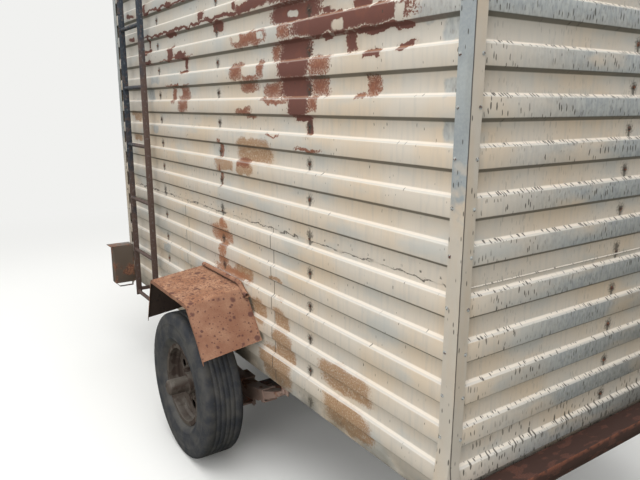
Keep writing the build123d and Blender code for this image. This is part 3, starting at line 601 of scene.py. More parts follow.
def rusted(tree, finish, sheet, colour):
    """Rust over the paint: a stain, thin tan rust, thin brown rust and old dark rust.

    Gives the colour, a mask of the rust that is thick, and a mask of the stain.
    """
    where, ragged, grain = sheet.where, sheet.ragged, sheet.grain
    if sheet.wall == "left":
        islands, _ = patches(tree, warped(tree, where, 28, 46), BARE_ISLANDS, edge=0.3)
        tan, tan_field = patches(tree, ragged, TAN_RUST, grain, edge=0.2, after=islands)
        thin, thin_field = patches(tree, ragged, THIN_RUST, grain, edge=0.16, after=tan_field)
        old, old_field = patches(tree, ragged, OLD_RUST, grain, edge=0.08, after=thin_field)
        old, thin = [
            add_node(tree, "Math", (mask, islands), operation="SUBTRACT", use_clamp=True)
            for mask in (old, thin)
        ]
        edge = add_node(tree, "MapRange", (old_field, 0.85, 1.3))
        stain = add_node(tree, "MapRange", (old_field, 3.0, 1.1))
        tan_rim = add_node(tree, "MapRange", (tan_field, 0.8, 1.2))
    else:
        seed = 71 if sheet.wall == "right" else 95
        spots = cloud(tree, ragged, 520, 0.60, 0.64, detail=2.0, seed=seed)
        old = times(tree, spots, cloud(tree, where, 90, 0.42, 0.5, seed=5))
        tan = cloud(tree, ragged, 330, 0.64, 0.70, detail=3.0, seed=44)
        edge = tan_rim = cloud(tree, where, 60, 0.4, 0.65, seed=6)
        stain = times(tree, spots, 0.5)
        thin = times(tree, tan, edge)
    mottle = cloud(tree, where, 7, 0.2, 0.56, detail=6.0, seed=15)
    grainy = add_node(tree, "Math", (tan_rim, 0.35), operation="MAXIMUM")
    tan_colour = layered(tree, finish.tan_rust, (grainy, grain, finish.orange_rust))
    colour = layered(
        tree, colour, (stain, 0.16, finish.tan_rust), (tan, mottle, 0.9, tan_colour)
    )
    blotch = cloud(tree, where, 5, 0.4, 0.5, detail=3.0, stretch=(1, 1.3, 1), seed=27)
    if sheet.wall == "left":
        blotch = strongest(tree, blotch, add_node(tree, "MapRange", (thin_field, 1.0, 0.25)))
    fresh = add_node(tree, "MapRange", (sheet.height, 1000.0, 760.0))
    thin_colour = layered(
        tree, finish.thin_rust, (grain, 0.6, finish.orange_rust), (fresh, 0.8, finish.fresh_rust)
    )
    colour = layered(tree, colour, (thin, blotch, 0.95, thin_colour))
    heart = cloud(tree, where, 55, 0.5, 0.75, detail=5.0, seed=28)
    old_colour = layered(
        tree, finish.old_rust, (heart, 0.5, finish.thin_rust), (edge, finish.thin_rust)
    )
    grainy_edge = times(tree, edge, grain, 0.7)
    rust = add_node(tree, "Math", (old, grainy_edge), operation="SUBTRACT", use_clamp=True)
    colour = layered(tree, colour, (rust, old_colour))
    return colour, strongest(tree, rust, times(tree, thin, blotch)), stain


def screw_blots(tree, sheet):
    """A mask of a dark blot round each screw, and of the run below it."""
    columns = {"left": SIDE_SCREW_COLUMNS_MM, "right": SIDE_SCREW_COLUMNS_MM[1:2]}
    near = None
    for column in columns.get(sheet.wall, END_SCREW_COLUMNS_MM):
        off = add_node(tree, "Math", (sheet.along, column), operation="SUBTRACT")
        off = add_node(tree, "Math", (off,), operation="ABSOLUTE")
        near = off if near is None else add_node(tree, "Math", (near, off), operation="MINIMUM")
    above_lap = add_node(tree, "Math", (sheet.height, LAP_MM), operation="GREATER_THAN")
    shift = add_node(
        tree, "Math", (above_lap, -SHEET_LAP * 1000, sheet.height), operation="MULTIPLY_ADD"
    )
    first_screw = (FIRST_RIB_LINE + SCREW_ABOVE_LINE) * 1000
    half_pitch = RIB_PITCH * 500
    from_screw = add_node(tree, "Math", (shift, first_screw), operation="SUBTRACT")
    phase = add_node(tree, "Math", (from_screw, half_pitch, -half_pitch), operation="WRAP")
    flat = add_node(tree, "CombineXYZ", (near, phase))
    round_screw = add_node(tree, "VectorMath", (flat,), operation="LENGTH")
    uneven = add_node(tree, "Math", (sheet.grain, 14.0, round_screw), operation="MULTIPLY_ADD")
    blot = add_node(tree, "MapRange", (uneven, 36.0, 14.0))
    run_down = add_node(tree, "MapRange", (phase, -46.0, -24.0))
    run_top = add_node(tree, "MapRange", (phase, 16.0, 2.0))
    return strongest(tree, blot, times(tree, band(tree, near, 0.0, 9.0), run_down, run_top))


def lap_lines(tree, sheet):
    """A mask of the upper sheet's edge over the lower one, and of the joints between the lower."""
    if sheet.wall == "rear":
        return band(tree, sheet.height, LAP_MM - 3.0, 4.5)
    wander = cloud(tree, sheet.where, 46, 0.2, 0.8, detail=3.0, stretch=(1, 0.4, 1), seed=88)
    wavy = add_node(tree, "Math", (wander, 20.0, sheet.height), operation="MULTIPLY_ADD")
    broken = cloud(tree, sheet.where, 110, 0.34, 0.5, detail=3.0, seed=46)
    lap = times(tree, band(tree, wavy, LAP_MM + 8.0, 4.2), broken)
    if sheet.wall != "left":
        return lap
    rivet = add_node(tree, "Math", (sheet.along, 47.0, -47.0), operation="WRAP")
    dots = times(tree, band(tree, sheet.height, LAP_MM + 20.0, 5.0), band(tree, rivet, 0.0, 6.0),
                 sheet.grain)
    above_lap = add_node(tree, "Math", (sheet.height, LAP_MM), operation="GREATER_THAN")
    below_lap = add_node(tree, "Math", (1.0, above_lap), operation="SUBTRACT", use_clamp=True)
    cracks = [times(tree, band(tree, sheet.along, joint, 3.6), below_lap)
              for joint in BUTT_JOINTS_MM]
    return strongest(tree, lap, dots, *cracks)


def splashes(tree, sheet, up):
    """A mask of drips of dirt: thick on the rear wall, and thickest on its slopes and crests."""
    slanted = warped(tree, sheet.where, 30, 12)
    gathered = cloud(tree, sheet.where, 230, 0.36, 0.56, seed=61)
    if sheet.wall != "rear":
        streaks = marks(tree, slanted, 26, 4.0, 0.14, stretch=(0.7, 2.0, 1), seed=9)
        return times(tree, streaks, gathered)
    streaks = marks(tree, slanted, 25, 7.5, 0.66, stretch=(0.55, 2.0, 1), seed=9)
    on_rib = add_node(tree, "MapRange", (sheet.out, -17.6, -12.0))
    thicker = add_node(tree, "Math", (on_rib, 0.75, 0.25), operation="MULTIPLY_ADD")
    streaks = times(tree, streaks, gathered, thicker)
    blots = times(tree, up, marks(tree, slanted, 14, 6.0, 0.6, stretch=(1, 1.8, 1), seed=4))
    low = add_node(tree, "MapRange", (sheet.height, 325.0, 165.0))
    drips = marks(tree, slanted, 42, 14.0, 0.6, stretch=(0.45, 1.5, 1), seed=29)
    return strongest(tree, streaks, strongest(tree, blots, times(tree, low, drips)))


def cladding_look(wall):
    """Pre-painted galvanised steel sheet, roll formed: chalked cream paint that has worn to zinc.

    Rain washes the upward slopes pale, and they carry a painted highlight; dirt and painted shade
    stay under each rib, and rust spreads from the screws in dark patches with an orange, grainy
    edge.
    The rear wall has no rust, but a veil of dirt and painted shade that thickens downwards.
    """
    look, tree, place, finish = new_look("painted_galvanised_sheet_" + wall, 0.62, specular=0.3)
    sheet = on_wall(tree, place, wall)
    crest = add_node(tree, "MapRange", (sheet.out, -6.0, -2.0))
    colour = worn_paint(tree, finish, sheet, crest)
    # How strongly the upward slopes are painted pale, as washed paint and painted highlight: more on
    # the rear wall
    rust, stain, washed = 0.0, 0.0, 0.86
    if wall != "rear":
        colour, rust, stain = rusted(tree, finish, sheet, colour)
        washed = 0.62
    colour = layered(tree, colour, (screw_blots(tree, sheet), 0.85, finish.speck))
    colour = layered(tree, colour, (lap_lines(tree, sheet), 0.85, finish.speck))

    # Slopes: rain-washed with a painted highlight above, and dirty with painted shade below, with
    # rust where it spreads
    # The upward slopes are painted pale, as rain-washed paint and as a painted highlight. Towards
    # the crest they are dimmed with zinc, which narrows that highlight.
    up = facing(tree, 0.45, 0.75)
    nose = add_node(tree, "MapRange", (sheet.out, -9.5, -6.5))
    # The downward slopes are painted dark with grime and rust stains: dirt, and the painted shade
    # under each rib
    under = layered(tree, finish.grime, (stain, finish.old_rust))
    sound = add_node(tree, "Math", (1.0, rust), operation="SUBTRACT", use_clamp=True)
    colour = layered(
        tree, colour, (up, sound, washed, finish.paint_washed_and_highlight),
        (up, rust, 0.7, finish.plate_rust), (up, nose, 0.35, finish.zinc),
        (facing(tree, -0.35, -0.75), 0.78, under),
    )
    # On the rear wall a veil of grime darkens the wall towards the bottom and away from the left
    # wall, more on the crests: dirt, and painted shade
    if wall == "rear":
        veil = add_node(tree, "MapRange", (sheet.height, 1425.0, 25.0))
        dull_side = add_node(tree, "MapRange", (sheet.along, 100.0, 1100.0))
        on_crest = add_node(tree, "Math", (crest, 0.44, 0.24), operation="MULTIPLY_ADD")
        colour = layered(tree, colour, (veil, dull_side, on_crest, finish.grime))
    colour = layered(tree, colour, (splashes(tree, sheet, up), 0.88, finish.speck))

    # The lining inside, and dirt along the bottom
    inside = add_node(tree, "Math", (sheet.out, -40.0), operation="LESS_THAN")
    foot = add_node(tree, "MapRange", (sheet.height, 110.0, 0.0))
    dirt = cloud(tree, sheet.where, 60, 0.25, 0.6, stretch=(2, 1, 1), seed=77)
    colour = layered(tree, colour, (inside, finish.lining), (foot, dirt, 0.6, finish.grime))
    dull = add_node(tree, "MapRange", {0: rust, "To Min": 0.58, "To Max": 0.92})
    waves = cloud(tree, sheet.where, 190, 0.2, 0.8, detail=1.0, stretch=(1.6, 1, 1), seed=13)
    return surfaced(look, colour, waves, 0.0018, dull)


def flashing_masks(tree, where):
    """Masks of the paint that a flashing kept, and of the dark line along its fold.

    The side leg is bare zinc above 1.6 m, and the end leg only right at the top.
    """
    parts = add_node(tree, "SeparateXYZ", (where,)).outputs
    across = add_node(tree, "Math", (parts[1],), operation="ABSOLUTE")
    fold_mm = SIDE_Y * 1000 - 1.0
    side_leg = add_node(tree, "Math", (across, fold_mm), operation="GREATER_THAN")
    start = add_node(tree, "Math", (side_leg, -880.0, 2492.0), operation="MULTIPLY_ADD")
    uneven = cloud(tree, where, 60, 0.3, 0.7, seed=4)
    fade = add_node(tree, "Math", (uneven, 190.0, parts[2]), operation="MULTIPLY_ADD")
    below = add_node(tree, "Math", (fade, start), operation="SUBTRACT")
    normal = add_node(tree, "TexCoord").outputs["Normal"]
    forward = add_node(tree, "SeparateXYZ", (normal,)).outputs[0]
    steep = add_node(tree, "Math", (forward,), operation="ABSOLUTE")
    end_face = add_node(tree, "Math", (steep, 0.6), operation="GREATER_THAN")
    painted = add_node(tree, "MapRange", (below, 160.0, 40.0))
    return painted, times(tree, band(tree, across, fold_mm, 3.2), end_face)


def zinc_look(name, dark_share=0.22, flashing=False):
    """Hot-dip galvanised sheet: dull blue-grey zinc with faint spangle and small dirt marks.

    A corner flashing was painted with the walls low down, and shows a dark line along its fold.
    """
    look, tree, where, finish = new_look(name, 0.52, metallic=0.15)
    spangle = cloud(tree, where, 9, 0.2, 0.85, detail=2.0, seed=8)
    oxide = cloud(tree, where, 120, 0.42, 0.7, detail=5.0, stretch=(1, 1, 2.5), seed=18)
    pale = add_node(tree, "Math", (spangle, 0.35, times(tree, oxide, 0.55)),
                    operation="MULTIPLY_ADD", use_clamp=True)
    stained = cloud(tree, where, 130, 0.48, 0.66, stretch=(1, 1, 3))
    colour = layered(
        tree, finish.zinc, (pale, finish.zinc_pale), (stained, dark_share, finish.grime)
    )
    share = 0.7 if flashing else 0.3
    drips = marks(tree, where, 24, 6.5, share, stretch=(0.6, 0.6, 2.2), seed=17, flat=False)
    layers = [(drips, 0.85, finish.speck)]
    if flashing:
        painted, fold = flashing_masks(tree, where)
        warm = cloud(tree, where, 90, 0.4, 0.7, stretch=(1, 1, 4), seed=37)
        cream = layered(tree, finish.paint, (warm, finish.paint_warm))
        layers = [(painted, 0.88, cream), *layers, (fold, 0.8, finish.chassis)]
    colour = layered(tree, colour, *layers)
    return surfaced(look, colour, cloud(tree, where, 70, 0.2, 0.8, seed=12), 0.0012)


def painted_steel_look(name, paint, rust, rusty=0.5, size=60, dusty=0.25, deep="old_rust"):
    """Brush-painted mild steel that rusts through: flat dark paint broken by scaly brown rust."""
    look, tree, where, finish = new_look(name, 0.7, specular=0.4)
    middle = 0.66 - 0.3 * rusty
    through = cloud(tree, where, size, middle - 0.05, middle + 0.07, detail=6.0, seed=21)
    scale = cloud(tree, where, 9, 0.35, 0.65, seed=14)
    rust_colour = layered(tree, rust, (scale, getattr(finish, deep)))
    settled = cloud(tree, where, 120, 0.3, 0.6, seed=2)
    colour = layered(
        tree, paint, (through, rust_colour), (facing(tree, 0.3, 0.9), settled, dusty, finish.dust)
    )
    dull = add_node(tree, "MapRange", {0: through, "To Min": 0.5, "To Max": 0.9})
    return surfaced(look, colour, times(tree, through, scale), 0.0012, dull)


def rusty_plate_look(name):
    """Bare mild steel plate left in the weather: pinkish tan rust with dark scabs.

    The scabs are small and crowded on top, where water stands, and larger near the outer edge.
    The faces that don't look up get painted shade in the colour of the spots, and those that
    look down are painted nearly as dark as the chassis.
    """
    look, tree, where, finish = new_look(name, 0.85, specular=0.25)
    tone = cloud(tree, where, 90, 0.3, 0.7, seed=5)
    fine = cloud(tree, where, 6, 0.35, 0.7, detail=3.0, seed=6)
    bent = warped(tree, where, 13, 15)
    up = facing(tree, 0.7, 0.95)
    crowd = cloud(tree, where, 11, 0.48, 0.6, detail=4.0, seed=24)
    scabs = strongest(
        tree,
        marks(tree, bent, 16, 5.5, 0.7, seed=33, flat=False),
        marks(tree, bent, 26, 11.0, 0.8, seed=8, flat=False),
        marks(tree, bent, 56, 24.0, 0.5, seed=12, flat=False),
        times(tree, up, crowd, 0.6),
    )
    # Painted shade: the faces that don't look up are darkened with the spot colour, and those that
    # look down nearly to the chassis colour
    sides = add_node(tree, "Math", (1.0, up), operation="SUBTRACT", use_clamp=True)
    colour = layered(
        tree, finish.plate_rust, (tone, finish.plate_tan), (fine, 0.35, finish.orange_rust),
        (sides, 0.4, finish.plate_spot_and_shade), (scabs, 0.85, finish.plate_spot_and_shade),
        (facing(tree, -0.05, -0.25), 0.92, finish.chassis),
    )
    relief = add_node(tree, "Math", (times(tree, fine, 0.4), scabs), operation="ADD")
    return surfaced(look, colour, relief, 0.0009)


def beam_look():
    """Rolled channel in old red-brown primer: chipped to orange rust and pale scrapes."""
    look, tree, where, finish = new_look("primed_rolled_channel", 0.72, specular=0.35)
    chips = cloud(tree, where, 34, 0.53, 0.59, detail=6.0, stretch=(1, 2.4, 1), seed=41)
    grain = cloud(tree, where, 5, 0.35, 0.65, seed=8)
    rust = layered(tree, finish.beam_rust, (grain, finish.old_rust))
    height = add_node(tree, "SeparateXYZ", (where,)).outputs[2]
    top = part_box("rear_beam")[1].z * 1000
    edge = add_node(tree, "MapRange", (height, top - 22, top - 3))
    worn = times(tree, edge, facing(tree, 0.8, 0.2), cloud(tree, where, 26, 0.35, 0.55, seed=3))
    scraped = marks(
        tree, warped(tree, where, 22, 30), 95, 15.0, 0.6, stretch=(1, 2.2, 1), seed=2, flat=False
    )
    colour = layered(
        tree, finish.beam, (chips, 0.35, rust), (worn, finish.beam_rust),
        (scraped, 0.85, finish.paint_warm),
    )
    return surfaced(look, colour, times(tree, chips, grain), 0.001)


def ladder_look():
    """Hot-rolled flat bar, once painted black: blue-black above and rust-brown lower down."""
    look, tree, where, finish = new_look("hot_rolled_flat_bar", 0.65, specular=0.4)
    parts = add_node(tree, "SeparateXYZ", (where,)).outputs
    noise = cloud(tree, where, 80, 0.3, 0.7, detail=5.0, seed=3)
    shifted = add_node(tree, "Math", (noise, -500.0, parts[2]), operation="MULTIPLY_ADD")
    # The rail nearer the rear has lost its paint from higher up
    low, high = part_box("ladder_rails")
    forward = add_node(tree, "Math", (parts[0], (low.x + high.x) * 500), operation="SUBTRACT")
    shifted = add_node(tree, "Math", (forward, 2.2, shifted), operation="MULTIPLY_ADD")
    bare = add_node(tree, "MapRange", (shifted, 1722.0, 1322.0))
    patchy = cloud(tree, where, 24, 0.5, 0.62, detail=5.0, seed=9)
    rusty = strongest(tree, bare, times(tree, patchy, 0.6))
    grey = cloud(tree, where, 14, 0.55, 0.7, seed=20)
    colour = layered(
        tree, finish.ladder, (rusty, 0.85, finish.ladder_rust), (grey, 0.25, finish.zinc)
    )
    return surfaced(look, colour, patchy, 0.0008)


def rubber_look():
    """Vulcanised rubber, old and chalky: dull grey with dust in the grooves and fine cracks."""
    look, tree, where, finish = new_look("aged_tyre_rubber", 0.82, specular=0.35)
    dusty = cloud(tree, where, 70, 0.35, 0.7, seed=5)
    parts = add_node(tree, "SeparateXYZ", (where,)).outputs
    from_x = add_node(tree, "Math", (parts[0], AXLE_X * 1000), operation="SUBTRACT")
    from_z = add_node(tree, "Math", (parts[2], AXLE_Z * 1000), operation="SUBTRACT")
    flat = add_node(tree, "CombineXYZ", (from_x, 0.0, from_z))
    radius = add_node(tree, "VectorMath", (flat,), operation="LENGTH")
    low = add_node(tree, "MapRange", (radius, 262.0, 226.0))
    scuffs = cloud(tree, where, 12, 0.52, 0.7, detail=5.0, seed=30)
    colour = layered(
        tree, finish.rubber, (dusty, 0.35, finish.dust), (low, 0.4, finish.dust),
        (scuffs, 0.3, finish.grime),
    )
    return surfaced(look, colour, scuffs, 0.0006)


def wood_look():
    """Phenolic plywood deck: brown veneer with a stretched grain, scuffed pale, in sheets."""
    look, tree, where, finish = new_look("scuffed_plywood", 0.7, specular=0.3)
    grain = cloud(tree, where, 6, 0.3, 0.7, detail=6.0, stretch=(14, 1, 1), seed=2)
    worn = cloud(tree, where, 220, 0.45, 0.65, seed=8)
    along = add_node(tree, "SeparateXYZ", (where,)).outputs[0]
    seam = add_node(tree, "Math", (along, 610.0, -610.0), operation="WRAP")
    colour = layered(
        tree, finish.plywood, (grain, 0.55, finish.grime), (worn, 0.45, finish.dust),
        (band(tree, seam, 0.0, 3.0), finish.speck),
    )
    return surfaced(look, colour, grain, 0.0005)


def enamel_look():
    """Vitreous enamel on a range: off-white glaze, glossy, with burnt brown stains."""
    look, tree, where, finish = new_look("vitreous_enamel", 0.28)
    burnt = cloud(tree, where, 110, 0.5, 0.68, detail=6.0, seed=4)
    chips = marks(tree, warped(tree, where, 16, 10), 70, 9.0, 0.35, seed=6, flat=False)
    colour = layered(
        tree, finish.lining, (burnt, 0.7, finish.old_rust), (chips, finish.chassis)
    )
    return surfaced(look, colour, burnt, 0.0004)


LOOKS = {}


def give_look(look, *nodes):
    """Puts a material on CAD nodes."""
    for name in nodes:
        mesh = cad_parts[name].data
        mesh.materials.clear()
        mesh.materials.append(LOOKS[look])


def both_sides(name, pair):
    """The names of a node, or of the left and the right one of a pair."""
    return (name + "_left", name + "_right") if pair else (name,)


# Modelling: an operator's usual steps, always on one piece with everything else deselected


def only(piece):
    """Selects one object alone, in object mode."""
    if bpy.context.object and bpy.context.object.mode != "OBJECT":
        bpy.ops.object.mode_set(mode="OBJECT")
    bpy.ops.object.select_all(action="DESELECT")
    if piece:
        piece.select_set(True)
        bpy.context.view_layer.objects.active = piece


def begin(name, kind, **settings):
    """Adds a primitive and names it."""
    only(None)
    getattr(bpy.ops.mesh, "primitive_" + kind + "_add")(**settings)
    piece = bpy.context.object
    piece.name = piece.data.name = name
    return piece


def open_all(piece):
    """Opens a piece in edit mode with all of it selected. The next step on a piece closes it."""
    only(piece)
    bpy.ops.object.mode_set(mode="EDIT")
    bpy.ops.mesh.select_all(action="SELECT")


def pick(piece, kind, test=lambda middle, way: True):
    """In edit mode, selects the verts, edges or faces whose middle and way pass the test.

    The way of an edge runs along it, and the way of the others is their normal.
    """
    open_all(piece)
    bpy.context.tool_settings.mesh_select_mode = [kind == k for k in ("verts", "edges", "faces")]
    bpy.ops.mesh.select_all(action="DESELECT")
    shape = bmesh.from_edit_mesh(piece.data)
    measure = {
        "verts": lambda vert: (vert.co, vert.normal),
        "edges": lambda edge: (
            (edge.verts[0].co + edge.verts[1].co) / 2, edge.verts[1].co - edge.verts[0].co
        ),
        "faces": lambda face: (face.calc_center_median(), face.normal),
    }[kind]
    chosen = [item for item in getattr(shape, kind) if test(*measure(item))]
    if not chosen:
        raise RuntimeError(piece.name + ": nothing was picked to shape")
    for item in chosen:
        item.select_set(True)
    shape.select_flush_mode()
    bmesh.update_edit_mesh(piece.data)


def sweep(value, steps=1):
    """Extrudes what is selected by value, in equal steps."""
    part = Vector(value) / steps
    for _ in range(steps):
        bpy.ops.mesh.extrude_region_move(TRANSFORM_OT_translate={"value": part})


def finish_with(piece, kind, **settings):
    """Adds a modifier and applies it."""
    only(piece)
    modifier = piece.modifiers.new(kind.title(), kind)
    for name, value in settings.items():
        setattr(modifier, name, value)
    bpy.ops.object.modifier_apply(modifier=modifier.name)


def soften(piece, width):
    """Rounds the sharp edges of a new piece."""
    finish_with(piece, "BEVEL", width=width, segments=2, limit_method="ANGLE")
    return piece


def tidy(piece):
    """Merges doubles and points the faces outwards."""
    open_all(piece)
    bpy.ops.mesh.remove_doubles(threshold=0.00005)
    bpy.ops.mesh.normals_make_consistent(inside=False)
    only(piece)


def thicken(piece, thickness, offset=0.0):
    """Tidies a sheet and gives it its thickness."""
    tidy(piece)
    finish_with(piece, "SOLIDIFY", thickness=thickness, offset=offset)


def settle(piece, look, *stands_for, body="trailer_body", slot=None, smooth=35):
    """Puts the piece's place in its mesh, and gives it its look and the body it rides on. The slot
    is not used.
    """
    only(piece)
    bpy.ops.object.transform_apply(location=True, rotation=True, scale=True)
    bpy.ops.object.shade_smooth_by_angle(angle=math.radians(smooth))
    piece.data.materials.clear()
    piece.data.materials.append(LOOKS[look])
    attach(piece, body)
    if stands_for:
        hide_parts(*stands_for)


def joined(name, pieces):
    """Several pieces as one."""
    only(pieces[0])
    for piece in pieces:
        piece.select_set(True)
    bpy.ops.object.join()
    piece = bpy.context.object
    piece.name = piece.data.name = name
    return piece


def spread(pattern, name, places):
    """Copies a pattern to each place, (where, which way its Z points), and joins the copies."""
    only(None)
    copies = []
    for where, way in places:
        copy = pattern.copy()
        copy.data = pattern.data.copy()
        turn = Vector(way).to_track_quat("Z", "Y").to_matrix().to_4x4()
        copy.matrix_world = Matrix.Translation(Vector(where)) @ turn @ pattern.matrix_world
        bpy.context.collection.objects.link(copy)
        copies.append(copy)
    return joined(name, copies)


def drop(*patterns):
    """Removes patterns once they have been copied."""
    for pattern in patterns:
        mesh = pattern.data
        bpy.data.objects.remove(pattern)
        bpy.data.meshes.remove(mesh)


def rounded_copy(name, look, width, body="trailer_body", slot=None):
    """A copy of a CAD node with its doubles merged and its edges rounded, standing for it."""
    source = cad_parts[name]
    piece = source.copy()
    piece.data = source.data.copy()
    piece.parent = None
    bpy.context.collection.objects.link(piece)
    for key in list(piece.keys()):
        del piece[key]
    piece.name = piece.data.name = name + "_rounded"
    piece.matrix_world = Matrix.Identity(4)
    tidy(piece)
    open_all(piece)
    bpy.ops.mesh.dissolve_limited(angle_limit=math.radians(1))
    finish_with(
        piece, "BEVEL", width=width, segments=2, limit_method="ANGLE",
        angle_limit=math.radians(30), use_clamp_overlap=True, harden_normals=False,
    )
    settle(piece, look, name, body=body, slot=slot)


def start_line(name, points):
    """A chain of edges through the points, drawn from one vertex; stays in edit mode."""
    piece = begin(name, "plane", size=0.01, location=(0, 0, 0))
    bpy.ops.object.mode_set(mode="EDIT")
    bpy.context.tool_settings.mesh_select_mode = (True, False, False)
    bpy.ops.mesh.select_all(action="SELECT")
    bpy.ops.mesh.merge(type="CENTER")
    bpy.ops.mesh.select_all(action="SELECT")
    points = [Vector(point) for point in points]
    bpy.ops.transform.translate(value=points[0])
    for before, after in zip(points, points[1:]):
        sweep(after - before)
    bpy.ops.mesh.select_all(action="SELECT")
    return piece


def folded_line(corners, steps):
    """Points along a line with corners, in as many steps between one corner and the next."""
    corners = [Vector(corner) for corner in corners]
    points = []
    for start, end in zip(corners, corners[1:]):
        points += [start.lerp(end, i / steps) for i in range(steps)]
    return points + corners[-1:]


def lathe(name, profile, centre, axis, steps):
    """Draws a profile of (along the axis, radius) points and spins it."""
    axis, side = Vector(axis), Vector((1, 0, 0))
    piece = start_line(name, [Vector(centre) + axis * a + side * r for a, r in profile])
    bpy.ops.mesh.spin(steps=steps, angle=math.tau, center=centre, axis=axis)
    tidy(piece)
    return piece


def strip(name, low, high):
    """A box between two corners, started from a cube."""
    low, high = Vector(low), Vector(high)
    piece = begin(name, "cube", size=1.0, location=(low + high) / 2)
    piece.scale = high - low
    bpy.ops.object.transform_apply(location=True, rotation=True, scale=True)
    return piece


def plate(name, low, high, corner, edge, axis=1):
    """A plate between two corners: round corners about the axis, and a small bevel all round."""
    piece = strip(name, low, high)
    pick(piece, "edges", lambda middle, way: way.normalized()[axis] ** 2 > 0.9)
    bpy.ops.mesh.bevel(offset=corner, segments=4)
    return soften(piece, edge)


def ring(name, low, high, width, y, out):
    """A flat frame in the right wall between two corners, as (x, z); out is its thickness."""
    (x0, z0), (x1, z1) = low, high
    piece = begin(name, "plane", size=1.0, location=((x0 + x1) / 2, y, (z0 + z1) / 2),
                  rotation=(math.pi / 2, 0, 0))
    piece.scale = (x1 - x0, z1 - z0, 1)
    bpy.ops.object.transform_apply(location=True, rotation=True, scale=True)
    pick(piece, "faces")
    bpy.ops.mesh.inset(thickness=width)
    bpy.ops.mesh.delete(type="FACE")
    bpy.ops.mesh.select_all(action="SELECT")
    sweep((0, -out, 0))
    tidy(piece)
    return soften(piece, out * 0.3)


def screw_pattern(name, washer, head, height):
    """A screw head on its washer, with Z out of the sheet."""
    pattern = begin(name, "cylinder", vertices=12, radius=washer, depth=0.002)
    pick(pattern, "faces", lambda middle, way: way.z > 0.9)
    bpy.ops.mesh.inset(thickness=washer - head)
    sweep((0, 0, height))
    bpy.ops.transform.resize(value=(0.82, 0.82, 1.0))
    return pattern


def hexagon(name, radius, height):
    """A hexagon on the plate, with Z out of it and its top face selected."""
    pattern = begin(name, "cylinder", vertices=6, radius=radius, depth=height,
                    location=(0, 0, height / 2))
    bpy.ops.object.transform_apply(location=True)
    pick(pattern, "faces", lambda middle, way: way.z > 0.9)
    return pattern


def nut_pattern(name, radius, height, stud):
    """A hexagon nut with the end of its stud."""
    pattern = hexagon(name, radius, height)
    bpy.ops.mesh.inset(thickness=radius * 0.16)
    bpy.ops.mesh.inset(thickness=radius * 0.34)
    sweep((0, 0, stud))
    bpy.ops.transform.resize(value=(0.9, 0.9, 1.0))
    pick(pattern, "edges", lambda middle, way: abs(way.z) > 0.5 * height
         and middle.length_squared > (radius * 0.7) ** 2)
    bpy.ops.mesh.bevel(offset=radius * 0.06, segments=2)
    return pattern


def bolt_pattern(name, radius, height):
    """A hexagon head with a chamfered top."""
    pattern = hexagon(name, radius, height)
    bpy.ops.mesh.inset(thickness=radius * 0.14)
    bpy.ops.transform.translate(value=(0, 0, height * 0.14))
    return pattern


def circle_of(count, radius, first=0.0):
    """Steps across and up from the middle of a circle, evenly round it, from an angle on."""
    turns = [math.radians(360 / count * i + first) for i in range(count)]
    return [(radius * math.cos(turn), radius * math.sin(turn)) for turn in turns]


def dent(piece, test, value, size):
    """Pushes the vertices that pass the test, and what lies within size of them less and less."""
    pick(piece, "verts", test)
    bpy.ops.transform.translate(
        value=value, use_proportional_edit=True, proportional_edit_falloff="SMOOTH",
        proportional_size=size,
    )


def shake(piece, offset, seed):
    """Moves every vertex at random by up to offset, like sheet that isn't quite flat."""
    pick(piece, "verts")
    bpy.ops.transform.vertex_random(offset=offset, uniform=0.0, normal=0.0, seed=seed)


def rib_middle(rib):
    """Height of the middle of a rib's flat top."""
    return RIB_LINES[rib] - RIB_SLOPE / 2 - RIB_FLAT / 2


def area_lamp(name, where, target, size, power):
    """A soft square lamp that shines on a target."""
    lamp = bpy.data.lights.new(name, "AREA")
    lamp.energy = power
    lamp.size = size
    aim(name, lamp, where, Vector(target) - Vector(where))


def aim(name, data, where, way):
    """Puts a lamp or a camera in the scene, looking one way."""
    holder = bpy.data.objects.new(name, data)
    holder.location = where
    holder.rotation_euler = way.to_track_quat("-Z", "Y").to_euler()
    bpy.context.collection.objects.link(holder)
    return holder


